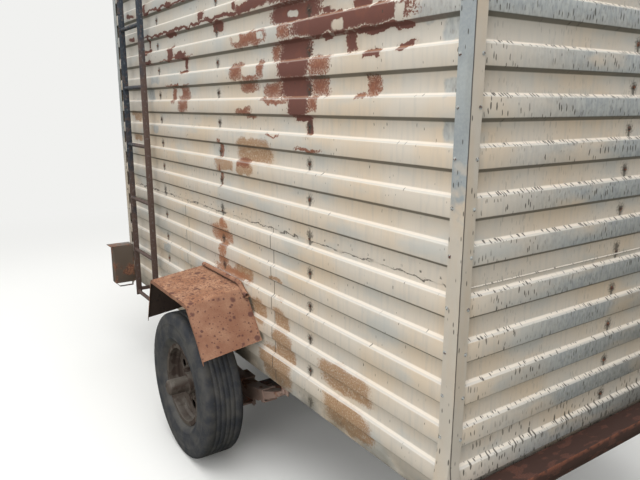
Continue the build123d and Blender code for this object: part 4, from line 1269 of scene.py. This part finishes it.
class TRAILER_OT_stage(bpy.types.Operator):
    """Pale floor, soft light from above and the camera at the photograph's place"""

    bl_idname = "trailer.stage"
    bl_label = "Stage"

    def execute(self, context):
        scene = context.scene
        settings = scene.trailer_stage
        scene.view_settings.view_transform = "Standard"

        # The floor throws back less light than the camera sees, as dull ground would, and is lost
        # in the backdrop further off
        floor = begin("floor", "plane", size=120.0, location=(0, 0, 0))
        look, tree, where, _ = new_look("pale_floor", 0.9, specular=0.1)
        shader = tree.nodes["Principled BSDF"]
        to_camera = add_node(tree, "LightPath").outputs["Is Camera Ray"]
        colour = layered(tree, settings.bounce, (to_camera, settings.floor))
        tree.links.new(colour.outputs[2], shader.inputs["Base Color"])
        far = add_node(tree, "VectorMath", (where,), operation="LENGTH")
        fade = add_node(tree, "MapRange", (far, 3200.0, 8000.0), interpolation_type="SMOOTHSTEP")
        glow = add_node(tree, "Emission", (rgba(settings.backdrop), 1.0))
        blend = add_node(tree, "MixShader", (times(tree, fade, to_camera), shader, glow))
        tree.links.new(blend.outputs[0], tree.nodes["Material Output"].inputs["Surface"])
        floor.data.materials.append(look)

        scene.world = scene.world or bpy.data.worlds.new("studio")
        scene.world.use_nodes = True
        tree = scene.world.node_tree
        tree.nodes.clear()
        seen = add_node(tree, "LightPath").outputs
        rays = [seen["Is " + kind + " Ray"] for kind in ("Camera", "Glossy", "Transmission")]
        soft = add_node(tree, "Background", ((1.0, 1.0, 1.0, 1.0), settings.sky_strength))
        plain = add_node(tree, "Background", (rgba(settings.backdrop), 1.0))
        mix = add_node(tree, "MixShader", (strongest(tree, *rays), soft, plain))
        add_node(tree, "OutputWorld", (mix,))

        area_lamp("top_light", (-1.5, 1.5, 7.0), (-0.5, 0.3, 0.0), 7.0, settings.top_power)
        area_lamp("fill_light", (-5.6, 7.2, 3.4), (-1.2, 0.4, 1.4), 5.0, settings.fill_power)
        camera = bpy.data.cameras.new("camera")
        camera.sensor_width = 36.0
        camera.lens = CAMERA_LENS_MM
        way = Vector((math.cos(CAMERA_TURN) * math.cos(CAMERA_DIP),
                      math.sin(CAMERA_TURN) * math.cos(CAMERA_DIP), -math.sin(CAMERA_DIP)))
        place = (REAR_X - CAMERA_BEHIND, SIDE_Y + CAMERA_OUTSIDE, CAMERA_HEIGHT)
        scene.camera = aim("camera", camera, place, way)
        return {"FINISHED"}


class TRAILER_OT_finishes(bpy.types.Operator):
    """Makes every material and puts it on the CAD pieces"""

    bl_idname = "trailer.finishes"
    bl_label = "Finishes"

    def execute(self, context):
        finish = context.scene.trailer_finish
        for wall in ("left", "right", "rear", "front"):
            LOOKS[wall] = cladding_look(wall)
            give_look(wall, "wall_" + wall)
        LOOKS["zinc"] = zinc_look("galvanised_sheet")
        LOOKS["flashing"] = zinc_look("part_painted_galvanised_flashing", flashing=True)
        LOOKS["roof"] = zinc_look("stained_galvanised_roof_sheet", dark_share=0.3)
        for look, name, paint, rust, settings in (
            ("chassis", "chassis_paint_on_steel", finish.chassis, finish.beam_rust,
             {"size": 75, "deep": "ladder_rust"}),
            # The springs get a colour painted paler than their scale, to stand in for light in the
            # shade under the body
            ("spring", "scaled_spring_steel", finish.spring, finish.plate_rust,
             {"rusty": 0.3, "size": 90}),
            ("rim", "rusted_pressed_wheel_steel", finish.wheel, finish.rim_rust,
             {"dusty": 0.6, "deep": "rim_rust"}),
            ("box", "rust_streaked_folded_box_steel", finish.box, finish.plate_rust,
             {"rusty": 0.35, "size": 80}),
            ("iron", "seasoned_cast_iron", finish.chassis, finish.old_rust,
             {"rusty": 0.2, "size": 40, "dusty": 0.1}),
            ("screw_zinc", "tarnished_zinc_screw", finish.zinc_pale, finish.grime,
             {"rusty": 0.45, "size": 7}),
            ("screw", "rusted_screw_steel", finish.speck, finish.orange_rust, {"size": 8}),
        ):
            LOOKS[look] = painted_steel_look(name, paint, rust, **settings)
        LOOKS["plate"] = rusty_plate_look("weathered_mild_steel_plate")
        LOOKS["beam"] = beam_look()
        LOOKS["ladder"] = ladder_look()
        LOOKS["rubber"] = rubber_look()
        LOOKS["wood"] = wood_look()
        LOOKS["enamel"] = enamel_look()
        for row in ROUNDED:
            give_look(row.look, *both_sides(row.node, row.pair))
        for look, nodes in COATED.items():
            give_look(look, *nodes)
        return {"FINISHED"}


class TRAILER_OT_rounded_steel(bpy.types.Operator):
    """Folded sheet and rolled steel with the small radius that real edges have"""

    bl_idname = "trailer.rounded_steel"
    bl_label = "Rounded steel"

    def execute(self, context):
        for row in ROUNDED:
            for name in both_sides(row.node, row.pair):
                rounded_copy(name, row.look, row.radius_mm / 1000, row.body, row.slot)
        return {"FINISHED"}


class TRAILER_OT_wall_screws(bpy.types.Operator):
    """Screws with washers that hold the cladding, in columns up each wall"""

    bl_idname = "trailer.wall_screws"
    bl_label = "Wall screws"

    def execute(self, context):
        fixings = context.scene.trailer_fixings
        pattern = screw_pattern(
            "cladding_screw", fixings.washer_radius, fixings.head_radius, fixings.head_height
        )
        heights = [line + SCREW_ABOVE_LINE for line in RIB_LINES if line + 0.08 < WALL_TOP]
        pan = SIDE_Y - RIB_DEPTH
        places = {"left": [], "right": [], "rear": [], "front": []}
        openings = [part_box("door_frame"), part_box("hatch_frame")]
        for column in SIDE_SCREW_COLUMNS_MM:
            x = REAR_X + column / 1000
            for z in heights:
                places["left"].append(((x, pan, z), (0, 1, 0)))
                if all(x < low.x - SCREW_CLEAR or x > high.x + SCREW_CLEAR
                       or z < low.z - SCREW_CLEAR or z > high.z + SCREW_CLEAR
                       for low, high in openings):
                    places["right"].append(((x, -pan, z), (0, -1, 0)))
        for column in END_SCREW_COLUMNS_MM:
            y = SIDE_Y - column / 1000
            for z in heights:
                places["rear"].append(((REAR_X + RIB_DEPTH, y, z), (-1, 0, 0)))
                places["front"].append(((FRONT_X - RIB_DEPTH, y, z), (1, 0, 0)))
        for wall in places:
            settle(spread(pattern, "screws_" + wall, places[wall]), "screw")
        drop(pattern)
        return {"FINISHED"}


class TRAILER_OT_sheet_laps(bpy.types.Operator):
    """Lower edge of the upper sheets, which laps wavily over the lower ones"""

    bl_idname = "trailer.sheet_laps"
    bl_label = "Sheet laps"

    def execute(self, context):
        thick = context.scene.trailer_sheets.sheet_thickness
        pan = SIDE_Y - RIB_DEPTH
        rear, front = REAR_X + RIB_DEPTH, FRONT_X - RIB_DEPTH
        after_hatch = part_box("hatch_frame")[1].x + 0.004
        before_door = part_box("door_frame")[0].x - 0.004
        top = RIB_LINES[LOWER_SHEET_RIBS] - RIB_SLOPE / 2 - RIB_FLAT - RIB_SLOPE
        for wall, start, end, out in (
            ("left", (rear, pan), (front, pan), (0, 1)),
            ("right", (after_hatch, -pan), (before_door, -pan), (0, -1)),
            ("rear", (rear, -pan), (rear, pan), (-1, 0)),
            ("front", (front, -pan), (front, pan), (1, 0)),
        ):
            lift = Vector((*out, 0)) * (thick / 2 + 0.0002)
            start, end = Vector((*start, LAP_Z)) + lift, Vector((*end, LAP_Z)) + lift
            steps = max(2, round((end - start).length / 0.045))
            piece = start_line("sheet_lap_" + wall, folded_line((start, end), steps))
            sweep((0, 0, top - LAP_Z))
            pick(piece, "verts", lambda middle, way: middle.z < LAP_Z + 0.001)
            bpy.ops.transform.vertex_random(offset=0.004, uniform=0.0, normal=0.0, seed=6)
            pick(piece, "verts")
            flat = (0, 1, 1) if out[0] else (1, 0, 1)
            bpy.ops.transform.resize(value=flat, center_override=start)
            if wall == "rear":
                # Its lower edge is pressed straight and stands off the sheet below
                pick(piece, "verts", lambda middle, way: middle.z < LAP_Z + 0.02)
                bpy.ops.transform.resize(value=(1, 1, 0), center_override=start)
                sweep((-0.004, 0, -0.004))
            thicken(piece, thick)
            settle(piece, wall)
        return {"FINISHED"}


class TRAILER_OT_corner_flashings(bpy.types.Operator):
    """Folded corner angles: slightly out of plumb, dented, and crumpled at the rear left foot"""

    bl_idname = "trailer.corner_flashings"
    bl_label = "Corner flashings"

    def execute(self, context):
        sheets = context.scene.trailer_sheets
        half = sheets.flashing_thickness / 2
        for end, corner, way in ENDS:
            for side, sign in SIDES:
                node = "flashing_" + end + "_" + side
                low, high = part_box(node)
                x_out, y_out = corner + way * half, sign * (SIDE_Y + half)
                x_in = corner - way * sheets.flashing_side_leg
                y_in = sign * (SIDE_Y - sheets.flashing_end_leg)
                angle = ((x_in, y_out, low.z), (x_out, y_out, low.z), (x_out, y_in, low.z))
                piece = start_line(node + "_folded", folded_line(angle, steps=4))
                sweep((way * sheets.flashing_lean, 0, high.z - low.z), steps=44)
                shake(piece, offset=0.0009, seed=3)
                foot = low.z + 0.05
                if node == "flashing_rear_left":
                    dent(piece, lambda at, way: at.z < foot and at.x > corner + 0.035,
                         (0, 0.021, 0), 0.26)
                    dent(piece, lambda at, way: abs(at.z - low.z - 0.133) < 0.03
                         and at.y < SIDE_Y - 0.02, (-0.010, 0, 0), 0.05)
                    dent(piece, lambda at, way: at.z < low.z + 0.003 and at.x < corner + 0.01
                         and at.y > SIDE_Y - 0.02, (-0.012, 0.010, -0.004), 0.05)
                else:
                    dent(piece, lambda at, way: at.z < foot and abs(at.x - x_in) < 0.01,
                         (0, sign * 0.006, 0), 0.15)
                thicken(piece, 2 * half)
                settle(piece, "flashing", node, smooth=32)
        return {"FINISHED"}


class TRAILER_OT_flashing_screws(bpy.types.Operator):
    """One screw in each leg of a flashing at every rib"""

    bl_idname = "trailer.flashing_screws"
    bl_label = "Flashing screws"

    def execute(self, context):
        sheets = context.scene.trailer_sheets
        radius = context.scene.trailer_fixings.stud_radius
        pattern = screw_pattern("flashing_screw", washer=radius, head=radius * 0.6, height=0.003)
        crest = RIB_SLOPE / 2 + RIB_FLAT / 2
        places = []
        low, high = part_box("flashing_rear_left")
        for _, corner, way in ENDS:
            for _, sign in SIDES:
                for z in [line - crest for line in RIB_LINES if line - crest <= high.z - 0.02]:
                    lean = way * sheets.flashing_lean * (z - low.z) / (high.z - low.z)
                    y_out = sign * (SIDE_Y + sheets.flashing_thickness)
                    x = corner - way * (sheets.flashing_side_leg - 0.008) + lean
                    places.append(((x, y_out, z), (0, sign, 0)))
                    x_out = corner + way * sheets.flashing_thickness + lean
                    y = sign * (SIDE_Y - sheets.flashing_end_leg + 0.008)
                    places.append(((x_out, y, z), (way, 0, 0)))
        settle(spread(pattern, "screws_flashing", places), "screw_zinc")
        drop(pattern)
        return {"FINISHED"}


class TRAILER_OT_mudguards(bpy.types.Operator):
    """Mudguards of bent plate with a lip, dented on top, and the pipe that stiffens the joint"""

    bl_idname = "trailer.mudguards"
    bl_label = "Mudguards"

    def execute(self, context):
        sheets = context.scene.trailer_sheets
        thick, radius = sheets.guard_thickness, sheets.guard_pipe_radius
        top = GUARD_TOP - thick / 2
        near, far = (REAR_X + reach for reach in GUARD_FLAT)
        start, end = (REAR_X + reach for reach in GUARD_PIPE)
        section = (
            (near - GUARD_NEAR[0], top - GUARD_NEAR[1]), (near, top), (far, top),
            (far + GUARD_FAR[0], top - GUARD_FAR[1]),
        )
        for side, sign in SIDES:
            node = "mudguard_" + side
            inner, outer = sign * SIDE_Y, sign * (SIDE_Y + GUARD_WIDTH)
            piece = start_line(
                node + "_bent", folded_line([(x, inner, z) for x, z in section], steps=7)
            )
            sweep((0, outer - inner, -GUARD_FALL), steps=9)
            sweep((0, 0, -GUARD_LIP))
            for x in (near, far):
                pick(piece, "edges", lambda at, way: abs(at.x - x) < 0.001
                     and abs(way.x) < 0.001 and abs(way.y) > 0.01 and at.z > top - 0.06)
                bpy.ops.mesh.bevel(offset=0.016, segments=3)
            shake(piece, offset=0.0012, seed=8)
            trodden = Vector((near + 0.20, outer - sign * 0.12, top - 0.6 * GUARD_FALL))
            dent(piece, lambda at, way: (at - trodden).length < 0.06, (0, 0, -0.007), 0.14)
            dent(piece, lambda at, way: abs(at.x - near) < 0.03
                 and abs(at.y - outer) < 0.08, (0.004, 0, -0.006), 0.10)
            dent(piece, lambda at, way: abs(at.y - inner) < 0.001, (0, sign * 0.002, 0), 0.01)
            thicken(piece, thick)
            settle(piece, "plate", node, smooth=30)

            pipe = begin(
                "guard_pipe_" + side, "circle", vertices=20, radius=radius, fill_type="NOTHING",
                rotation=(0, math.pi / 2, 0),
                location=(start, sign * (SIDE_Y + radius + 0.001), GUARD_TOP + radius),
            )
            bpy.ops.object.transform_apply(location=True, rotation=True)
            pick(pipe, "edges")
            sweep((end - start, 0, 0), steps=20)
            dent(pipe, lambda at, way: at.x < start + 0.001, (0.012, 0, -0.050), 0.11)
            shake(pipe, offset=0.0006, seed=2)
            thicken(pipe, thickness=0.003, offset=-1.0)
            settle(pipe, "plate")
        return {"FINISHED"}


class TRAILER_OT_ladder_welds(bpy.types.Operator):
    """Lumpy weld beads where the rungs meet the rails"""

    bl_idname = "trailer.ladder_welds"
    bl_label = "Ladder welds"

    def execute(self, context):
        low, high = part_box("ladder_rungs")
        radius, middle = (high.y - low.y) / 2, (high.y + low.y) / 2
        pattern = begin("weld_ring", "torus", major_radius=radius, minor_radius=WELD_BEAD,
                        major_segments=20, minor_segments=8)
        shake(pattern, offset=WELD_BEAD * 0.25, seed=5)
        heights = [low.z + radius] + [RUNG_SECOND + RUNG_PITCH * i for i in range(RUNGS_ABOVE)]
        places = [((x, middle, z), (1, 0, 0)) for z in heights for x in (low.x, high.x)]
        settle(spread(pattern, "ladder_weld_beads", places), "ladder", smooth=60)
        drop(pattern)
        return {"FINISHED"}


class TRAILER_OT_spring_fixings(bpy.types.Operator):
    """Nuts of the spring clamps, the clips that hold the leaves together and the pin heads"""

    bl_idname = "trailer.spring_fixings"
    bl_label = "Spring fixings"

    def execute(self, context):
        nut = nut_pattern("clamp_nut", radius=0.013, height=0.012, stud=0.010)
        pin = bolt_pattern("spring_pin_head", radius=0.013, height=0.008)
        for side, sign in SIDES:
            low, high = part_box("spring_clamp_" + side)
            places = [
                ((x, y, low.z), (0, 0, -1)) for x in (low.x + NUT_INSET, high.x - NUT_INSET)
                for y in (low.y + NUT_INSET, high.y - NUT_INSET)
            ]
            settle(spread(nut, "clamp_nuts_" + side, places), "spring")

            low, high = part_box("leaf_spring_" + side)
            half = (high.y - low.y) / 2 + 0.0005
            clips = []
            for way in (-1, 1):
                corner = Vector((CLIP_WIDTH / 2, half + CLIP_THICK, CLIP_HEIGHT / 2))
                clip = strip("leaf_clip", -corner, corner)
                pick(clip, "faces", lambda at, way: abs(way.x) > 0.9)
                bpy.ops.mesh.inset(thickness=CLIP_THICK)
                bpy.ops.mesh.delete(type="FACE")
                inner = CLIP_HEIGHT / 2 - CLIP_THICK
                pick(clip, "edges", lambda at, run: abs(run.x) < 0.001
                     and (abs(abs(at.y) - half) < 0.001 or abs(abs(at.z) - inner) < 0.001))
                bpy.ops.mesh.bridge_edge_loops()
                tidy(clip)
                clip.rotation_euler = (0, -way * CLIP_TILT, 0)
                clip.location = (AXLE_X + way * CLIP_REACH, (low.y + high.y) / 2,
                                 low.z + CLIP_RISE)
                clips.append(clip)
            settle(joined("leaf_clips_" + side, clips), "spring")

            low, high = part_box("spring_hangers")
            heads = [((x, sign * high.y, low.z + PIN_RISE), (0, sign, 0))
                     for x in (low.x + PIN_INSET, high.x - PIN_INSET)]
            settle(spread(pin, "spring_pin_heads_" + side, heads), "spring")
        drop(nut, pin)
        return {"FINISHED"}


class TRAILER_OT_tyres(bpy.types.Operator):
    """Worn tyres: a turned section with shallow grooves round the tread and rings on the side"""

    bl_idname = "trailer.tyres"
    bl_label = "Tyres"

    def execute(self, context):
        fixings = context.scene.trailer_fixings
        depth, half_groove = fixings.groove_depth, fixings.groove_width / 2
        # Half the section: from the middle of the tyre outward, and the radius
        side = [
            (0.0720, 0.2068), (0.0720, 0.2270), (0.0760, 0.2330), (0.0850, 0.2390),
            (0.0960, 0.2520), (0.1010, 0.2600), (0.1015, 0.2640), (0.1005, 0.2680),
            (0.1045, 0.2820), (0.1065, 0.3000), (0.1060, 0.3200), (0.1045, 0.3380),
            (0.1055, 0.3400), (0.1050, 0.3440), (0.1030, 0.3620), (0.1010, 0.3760),
            (0.0985, 0.3860), (0.0930, 0.3935), (0.0860, 0.3975), (0.0740, 0.3993),
        ]
        crown = []
        for middle in (0.052, 0.026, 0.0):
            radius = TYRE_RADIUS - 0.0005 * (middle / 0.074) ** 2
            edge = [(half_groove + 0.0015, radius), (half_groove, radius - 0.001),
                    (half_groove * 0.7, radius - depth)]
            crown += [(middle + a, r) for a, r in edge]
            if middle:
                crown += [(middle - a, r) for a, r in edge[::-1]]
        half = side + crown
        profile = half + [(-a, r) for a, r in half[::-1]] + [half[0]]
        for name, sign in SIDES:
            centre = (AXLE_X, sign * TYRE_Y, AXLE_Z)
            piece = lathe("tyre_" + name + "_worn", profile, centre, (0, 1, 0), steps=96)
            settle(piece, "rubber", "tyre_" + name, body="wheel_" + name, smooth=40)
        return {"FINISHED"}


class TRAILER_OT_wheels(bpy.types.Operator):
    """Rims and hubs with rounded edges, and the nuts that hold each wheel"""

    bl_idname = "trailer.wheels"
    bl_label = "Wheels"

    def execute(self, context):
        fixings = context.scene.trailer_fixings
        pattern = nut_pattern("wheel_nut", fixings.nut_radius, height=0.016, stud=0.008)
        for name, sign in SIDES:
            body = "wheel_" + name
            rounded_copy("rim_" + name, "rim", width=0.0018, body=body)
            rounded_copy(
                "hub_and_drum_" + name, "rim", width=0.0025, body=body, slot="chassis_paint"
            )
            places = [((AXLE_X + x, sign * (SIDE_Y + DISC_OUT), AXLE_Z + z), (0, sign, 0))
                      for x, z in circle_of(6, fixings.nut_circle)]
            settle(spread(pattern, "wheel_nuts_" + name, places), "rim", body=body)
        drop(pattern)
        return {"FINISHED"}


class TRAILER_OT_opening_trims(bpy.types.Operator):
    """Galvanised trims round the door and the hatch, and the rubber seals on their stops"""

    bl_idname = "trailer.opening_trims"
    bl_label = "Opening trims"

    def execute(self, context):
        for name, (start, width, bottom, height) in (("door", DOOR), ("hatch", HATCH)):
            x0, x1 = REAR_X + start, REAR_X + start + width
            z0, z1 = bottom, bottom + height
            foot = max(z0 - TRIM_REACH, BODY_BOTTOM + 0.004)
            trim = ring(name + "_trim", (x0 - TRIM_REACH, foot), (x1 + TRIM_REACH, z1 + TRIM_REACH),
                        width=0.028, y=-SIDE_Y, out=0.002)
            settle(trim, "zinc")
            seal = ring(name + "_seal", (x0 + SEAL_WIDTH, z0 + SEAL_WIDTH),
                        (x1 - SEAL_WIDTH, z1 - SEAL_WIDTH), width=SEAL_WIDTH,
                        y=-SIDE_Y + STOP_DEPTH, out=0.004)
            settle(seal, "rubber")
        return {"FINISHED"}


class TRAILER_OT_hinge_bolts(bpy.types.Operator):
    """Two bolts in each half of every hinge of the door and the hatch"""

    bl_idname = "trailer.hinge_bolts"
    bl_label = "Hinge bolts"

    def execute(self, context):
        bolt = bolt_pattern("hinge_bolt", radius=0.0075, height=0.005)
        y, out = -SIDE_Y - HINGE_PLATE, (0, -1, 0)
        door_x = REAR_X + DOOR[0] + DOOR[1] - HINGE_INSET
        hatch_z = HATCH[2] + HATCH[3] - HINGE_INSET
        on_frame, on_door, on_hatch = [], [], []
        for z in [rib_middle(rib) for rib in DOOR_HINGE_RIBS]:
            for reach in HINGE_BOLTS:
                on_frame.append(((door_x + reach, y, z - HINGE_MIDDLE), out))
                on_door.append(((door_x - reach, y, z + HINGE_MIDDLE), out))
        for x in [REAR_X + HATCH[0] + HATCH[1] * share for share in HATCH_HINGE_SHARES]:
            for reach in HINGE_BOLTS:
                on_frame.append(((x - HINGE_MIDDLE, y, hatch_z + reach), out))
                on_hatch.append(((x + HINGE_MIDDLE, y, hatch_z - reach), out))
        for name, body, places in (("frame", "trailer_body", on_frame), ("door", "door", on_door),
                                   ("hatch", "hatch", on_hatch)):
            settle(spread(bolt, "hinge_bolts_" + name, places), "screw", body=body)
        drop(bolt)
        return {"FINISHED"}


class TRAILER_OT_door_fittings(bpy.types.Operator):
    """Backing plate of the door handle with its screws and lock, and a kick plate below"""

    bl_idname = "trailer.door_fittings"
    bl_label = "Door fittings"

    def execute(self, context):
        low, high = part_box("door_handle")
        x = (low.x + high.x) / 2
        z0, z1 = rib_middle(HANDLE_RIBS[0]) - 0.030, rib_middle(HANDLE_RIBS[1]) + 0.030
        face = -SIDE_Y - 0.0025
        backing = plate("door_handle_plate", (x - 0.028, face, z0), (x + 0.028, -SIDE_Y, z1),
                        corner=0.010, edge=0.0006)
        settle(backing, "zinc", body="door")
        lock = begin("door_lock", "cylinder", vertices=24, radius=0.013, depth=0.010,
                     location=(x, face - 0.004, (z0 + z1) / 2 - 0.012), rotation=(math.pi / 2, 0, 0))
        bpy.ops.object.transform_apply(location=True, rotation=True)
        pick(lock, "faces", lambda middle, way: way.y < -0.9)
        bpy.ops.mesh.inset(thickness=0.003)
        bpy.ops.transform.translate(value=(0, -0.0015, 0))
        bpy.ops.mesh.inset(thickness=0.0065)
        sweep((0, 0.004, 0))
        settle(lock, "screw", body="door")
        screw = screw_pattern("plate_screw", washer=0.0055, head=0.004, height=0.002)
        places = [((x + side * 0.019, face, z), (0, -1, 0))
                  for side in (-1, 1) for z in (z0 + 0.012, z1 - 0.012)]
        settle(spread(screw, "door_plate_screws", places), "screw", body="door")

        start, width = REAR_X + DOOR[0] + LEAF_MARGIN, DOOR[1] - 2 * LEAF_MARGIN
        z = rib_middle(0)
        kick = plate("door_kick_plate", (start + 0.03, -SIDE_Y - 0.002, z - 0.026),
                     (start + width - 0.09, -SIDE_Y, z + 0.026), corner=0.008, edge=0.0005)
        settle(kick, "zinc", body="door")
        drop(screw)
        return {"FINISHED"}


class TRAILER_OT_hatch_fittings(bpy.types.Operator):
    """Pads and turning knobs of the hatch's latches, and the shelf's worn edging"""

    bl_idname = "trailer.hatch_fittings"
    bl_label = "Hatch fittings"

    def execute(self, context):
        low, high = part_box("counter_shelf")
        edge = plate("shelf_edging", (low.x, low.y - 0.0015, low.z + 0.002),
                     (high.x, low.y + 0.0002, low.z + 0.030), corner=0.004, edge=0.0004)
        settle(edge, "zinc", body="shelf")
        pads, knobs = [], []
        z, face = HATCH[2] + LEAF_MARGIN + 0.030, -SIDE_Y - 0.003
        for share in LATCH_SHARES:
            x = REAR_X + HATCH[0] + HATCH[1] * share
            pads.append(plate("latch_pad", (x - 0.022, face, z - 0.016),
                              (x + 0.022, -SIDE_Y, z + 0.016), corner=0.006, edge=0.0006))
            knobs.append(((x, face, z), (0, -1, 0)))
        settle(joined("hatch_latch_pads", pads), "zinc", body="hatch")
        knob = nut_pattern("latch_knob", radius=0.011, height=0.008, stud=0.006)
        settle(spread(knob, "hatch_latch_knobs", knobs), "screw", body="hatch")
        drop(knob)
        return {"FINISHED"}


class TRAILER_OT_roof_details(bpy.types.Operator):
    """Standing seams across the roof, and the screws that hold its drip edge"""

    bl_idname = "trailer.roof_details"
    bl_label = "Roof details"

    def execute(self, context):
        low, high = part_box("roof_panel")
        flat = ROOF_FLAT / 2
        edge_z, top_z = WALL_TOP + ROOF_EDGE_RISE, WALL_TOP + ROOF_EDGE_RISE + ROOF_RISE
        section = ((low.y, edge_z), (-flat, top_z), (flat, top_z), (high.y, edge_z))
        seams = []
        for share in ROOF_SEAM_SHARES:
            x = low.x + (high.x - low.x) * share
            seam = start_line("roof_seam", folded_line([(x, y, z) for y, z in section], steps=5))
            for step in ((0, 0, 0.022), (0.009, 0, 0), (0, 0, -0.014)):
                sweep(step)
            shake(seam, offset=0.0006, seed=4)
            thicken(seam, thickness=0.0012)
            seams.append(seam)
        settle(joined("roof_seams", seams), "roof")

        screw = screw_pattern("drip_edge_screw", washer=0.007, head=0.0045, height=0.004)
        z = low.z + 0.022
        places = []
        for i in range(12):
            x = low.x + (high.x - low.x) * (i + 0.5) / 12
            places += [((x, high.y, z), (0, 1, 0)), ((x, low.y, z), (0, -1, 0))]
        for i in range(6):
            y = low.y + (high.y - low.y) * (i + 0.5) / 6
            places += [((low.x, y, z), (-1, 0, 0)), ((high.x, y, z), (1, 0, 0))]
        settle(spread(screw, "drip_edge_screws", places), "screw")
        drop(screw)
        return {"FINISHED"}


class TRAILER_OT_flue_details(bpy.types.Operator):
    """Storm collar and clamp band round the flue, and the bolts of its flange and of the vent"""

    bl_idname = "trailer.flue_details"
    bl_label = "Flue details"

    def execute(self, context):
        low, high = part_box("flue_pipe")
        x, y, base = (low.x + high.x) / 2, (low.y + high.y) / 2, low.z
        collar = (
            (0.070, 0.0705), (0.066, 0.074), (0.034, 0.098), (0.030, 0.098), (0.062, 0.072),
            (0.062, 0.0705), (0.070, 0.0705),
        )
        clamp = (
            (0.150, 0.0702), (0.150, 0.0725), (0.153, 0.0732), (0.167, 0.0732), (0.170, 0.0725),
            (0.170, 0.0702), (0.150, 0.0702),
        )
        for name, profile, look in (("flue_collar", collar, "roof"), ("flue_band", clamp, "screw")):
            settle(lathe(name, profile, (x, y, base), (0, 0, 1), steps=40), look)
        bolt = bolt_pattern("flange_bolt", radius=0.008, height=0.006)
        places = [((x + dx, y + dy, base + 0.008), (0, 0, 1))
                  for dx, dy in circle_of(6, 0.096, first=15)]
        places.append(((x + 0.0732, y, base + 0.160), (1, 0, 0)))
        low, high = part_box("roof_vent")
        middle = Vector(((low.x + high.x) / 2, (low.y + high.y) / 2, low.z + 0.018))
        for dx, dy in circle_of(4, 1.0, first=45):
            way = Vector((dx, dy, 0))
            places.append((middle + way * 0.0898, way))
        settle(spread(bolt, "roof_fitting_bolts", places), "screw")
        drop(bolt)
        return {"FINISHED"}


class TRAILER_OT_range_details(bpy.types.Operator):
    """Hotplates, oven doors with their grips, and knobs on the cooking range"""

    bl_idname = "trailer.range_details"
    bl_label = "Range details"

    def execute(self, context):
        low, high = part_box("cooking_range")
        middle, front = (low + high) / 2, low.y
        hotplates, doors, grips = [], [], []
        for dx, dy, radius in HOTPLATES:
            profile = (
                (0.0, radius + 0.012), (0.006, radius + 0.010), (0.006, radius),
                (0.002, radius - 0.003), (0.002, radius - 0.006), (0.012, radius - 0.009),
                (0.012, 0.030), (0.009, 0.024), (0.009, 0.002), (0.0, 0.002),
                (0.0, radius + 0.012),
            )
            centre = (middle.x + dx, middle.y + dy, high.z)
            hotplates.append(lathe("hotplate", profile, centre, (0, 0, 1), steps=40))
        settle(joined("range_hotplates", hotplates), "iron")
        for side in (-1, 1):
            x = middle.x + side * OVEN_REACH
            door = plate("oven_door", (x - OVEN_HALF_WIDTH, front - 0.014, low.z + OVEN_FOOT),
                         (x + OVEN_HALF_WIDTH, front, low.z + OVEN_TOP), corner=0.018, edge=0.003)
            pick(door, "faces", lambda at, way: way.y < -0.9 and abs(at.x - x) < 0.05)
            bpy.ops.mesh.inset(thickness=0.045)
            sweep((0, 0.006, 0))
            doors.append(door)
        settle(joined("oven_doors", doors), "enamel")
        knob = nut_pattern("range_knob", radius=0.021, height=0.018, stud=0.010)
        first = middle.x - KNOB_PITCH * (KNOBS - 1) / 2
        places = [((first + KNOB_PITCH * i, front, high.z - 0.16), (0, -1, 0))
                  for i in range(KNOBS)]
        settle(spread(knob, "range_knobs", places), "iron")
        drop(knob)
        for side in (-1, 1):
            x = middle.x + side * OVEN_REACH
            grips.append(plate("oven_grip", (x - 0.150, front - 0.044, low.z + 0.505),
                               (x + 0.150, front - 0.032, low.z + 0.520),
                               corner=0.005, edge=0.001, axis=0))
            for end in (-0.13, 0.13):
                grips.append(strip("oven_post", (x + end - 0.006, front - 0.034, low.z + 0.507),
                                   (x + end + 0.006, front - 0.012, low.z + 0.518)))
        settle(joined("oven_grips", grips), "iron")
        return {"FINISHED"}


OPERATORS = (
    TRAILER_OT_stage,
    TRAILER_OT_finishes,
    TRAILER_OT_rounded_steel,
    TRAILER_OT_wall_screws,
    TRAILER_OT_sheet_laps,
    TRAILER_OT_corner_flashings,
    TRAILER_OT_flashing_screws,
    TRAILER_OT_mudguards,
    TRAILER_OT_ladder_welds,
    TRAILER_OT_spring_fixings,
    TRAILER_OT_tyres,
    TRAILER_OT_wheels,
    TRAILER_OT_opening_trims,
    TRAILER_OT_hinge_bolts,
    TRAILER_OT_door_fittings,
    TRAILER_OT_hatch_fittings,
    TRAILER_OT_roof_details,
    TRAILER_OT_flue_details,
    TRAILER_OT_range_details,
)


class TRAILER_PT_pieces(bpy.types.Panel):
    """The trailer's pieces, in the order in which they are made"""

    bl_label = "Field kitchen trailer"
    bl_space_type = "VIEW_3D"
    bl_region_type = "UI"
    bl_category = "Trailer"

    def draw(self, context):
        for operator in OPERATORS:
            self.layout.operator(operator.bl_idname)


SETTINGS = (
    ("trailer_finish", TrailerFinish),
    ("trailer_fixings", TrailerFixings),
    ("trailer_sheets", TrailerSheets),
    ("trailer_stage", TrailerStage),
)


def register():
    for name, group in SETTINGS:
        bpy.utils.register_class(group)
        setattr(bpy.types.Scene, name, bpy.props.PointerProperty(type=group))
    for operator in OPERATORS:
        bpy.utils.register_class(operator)
    bpy.utils.register_class(TRAILER_PT_pieces)


def unregister():
    bpy.utils.unregister_class(TRAILER_PT_pieces)
    for operator in reversed(OPERATORS):
        bpy.utils.unregister_class(operator)
    for name, group in reversed(SETTINGS):
        delattr(bpy.types.Scene, name)
        bpy.utils.unregister_class(group)


def main():
    register()
    for operator in OPERATORS:
        group, name = operator.bl_idname.split(".")
        getattr(getattr(bpy.ops, group), name)()


if __name__ == "__main__":
    main()
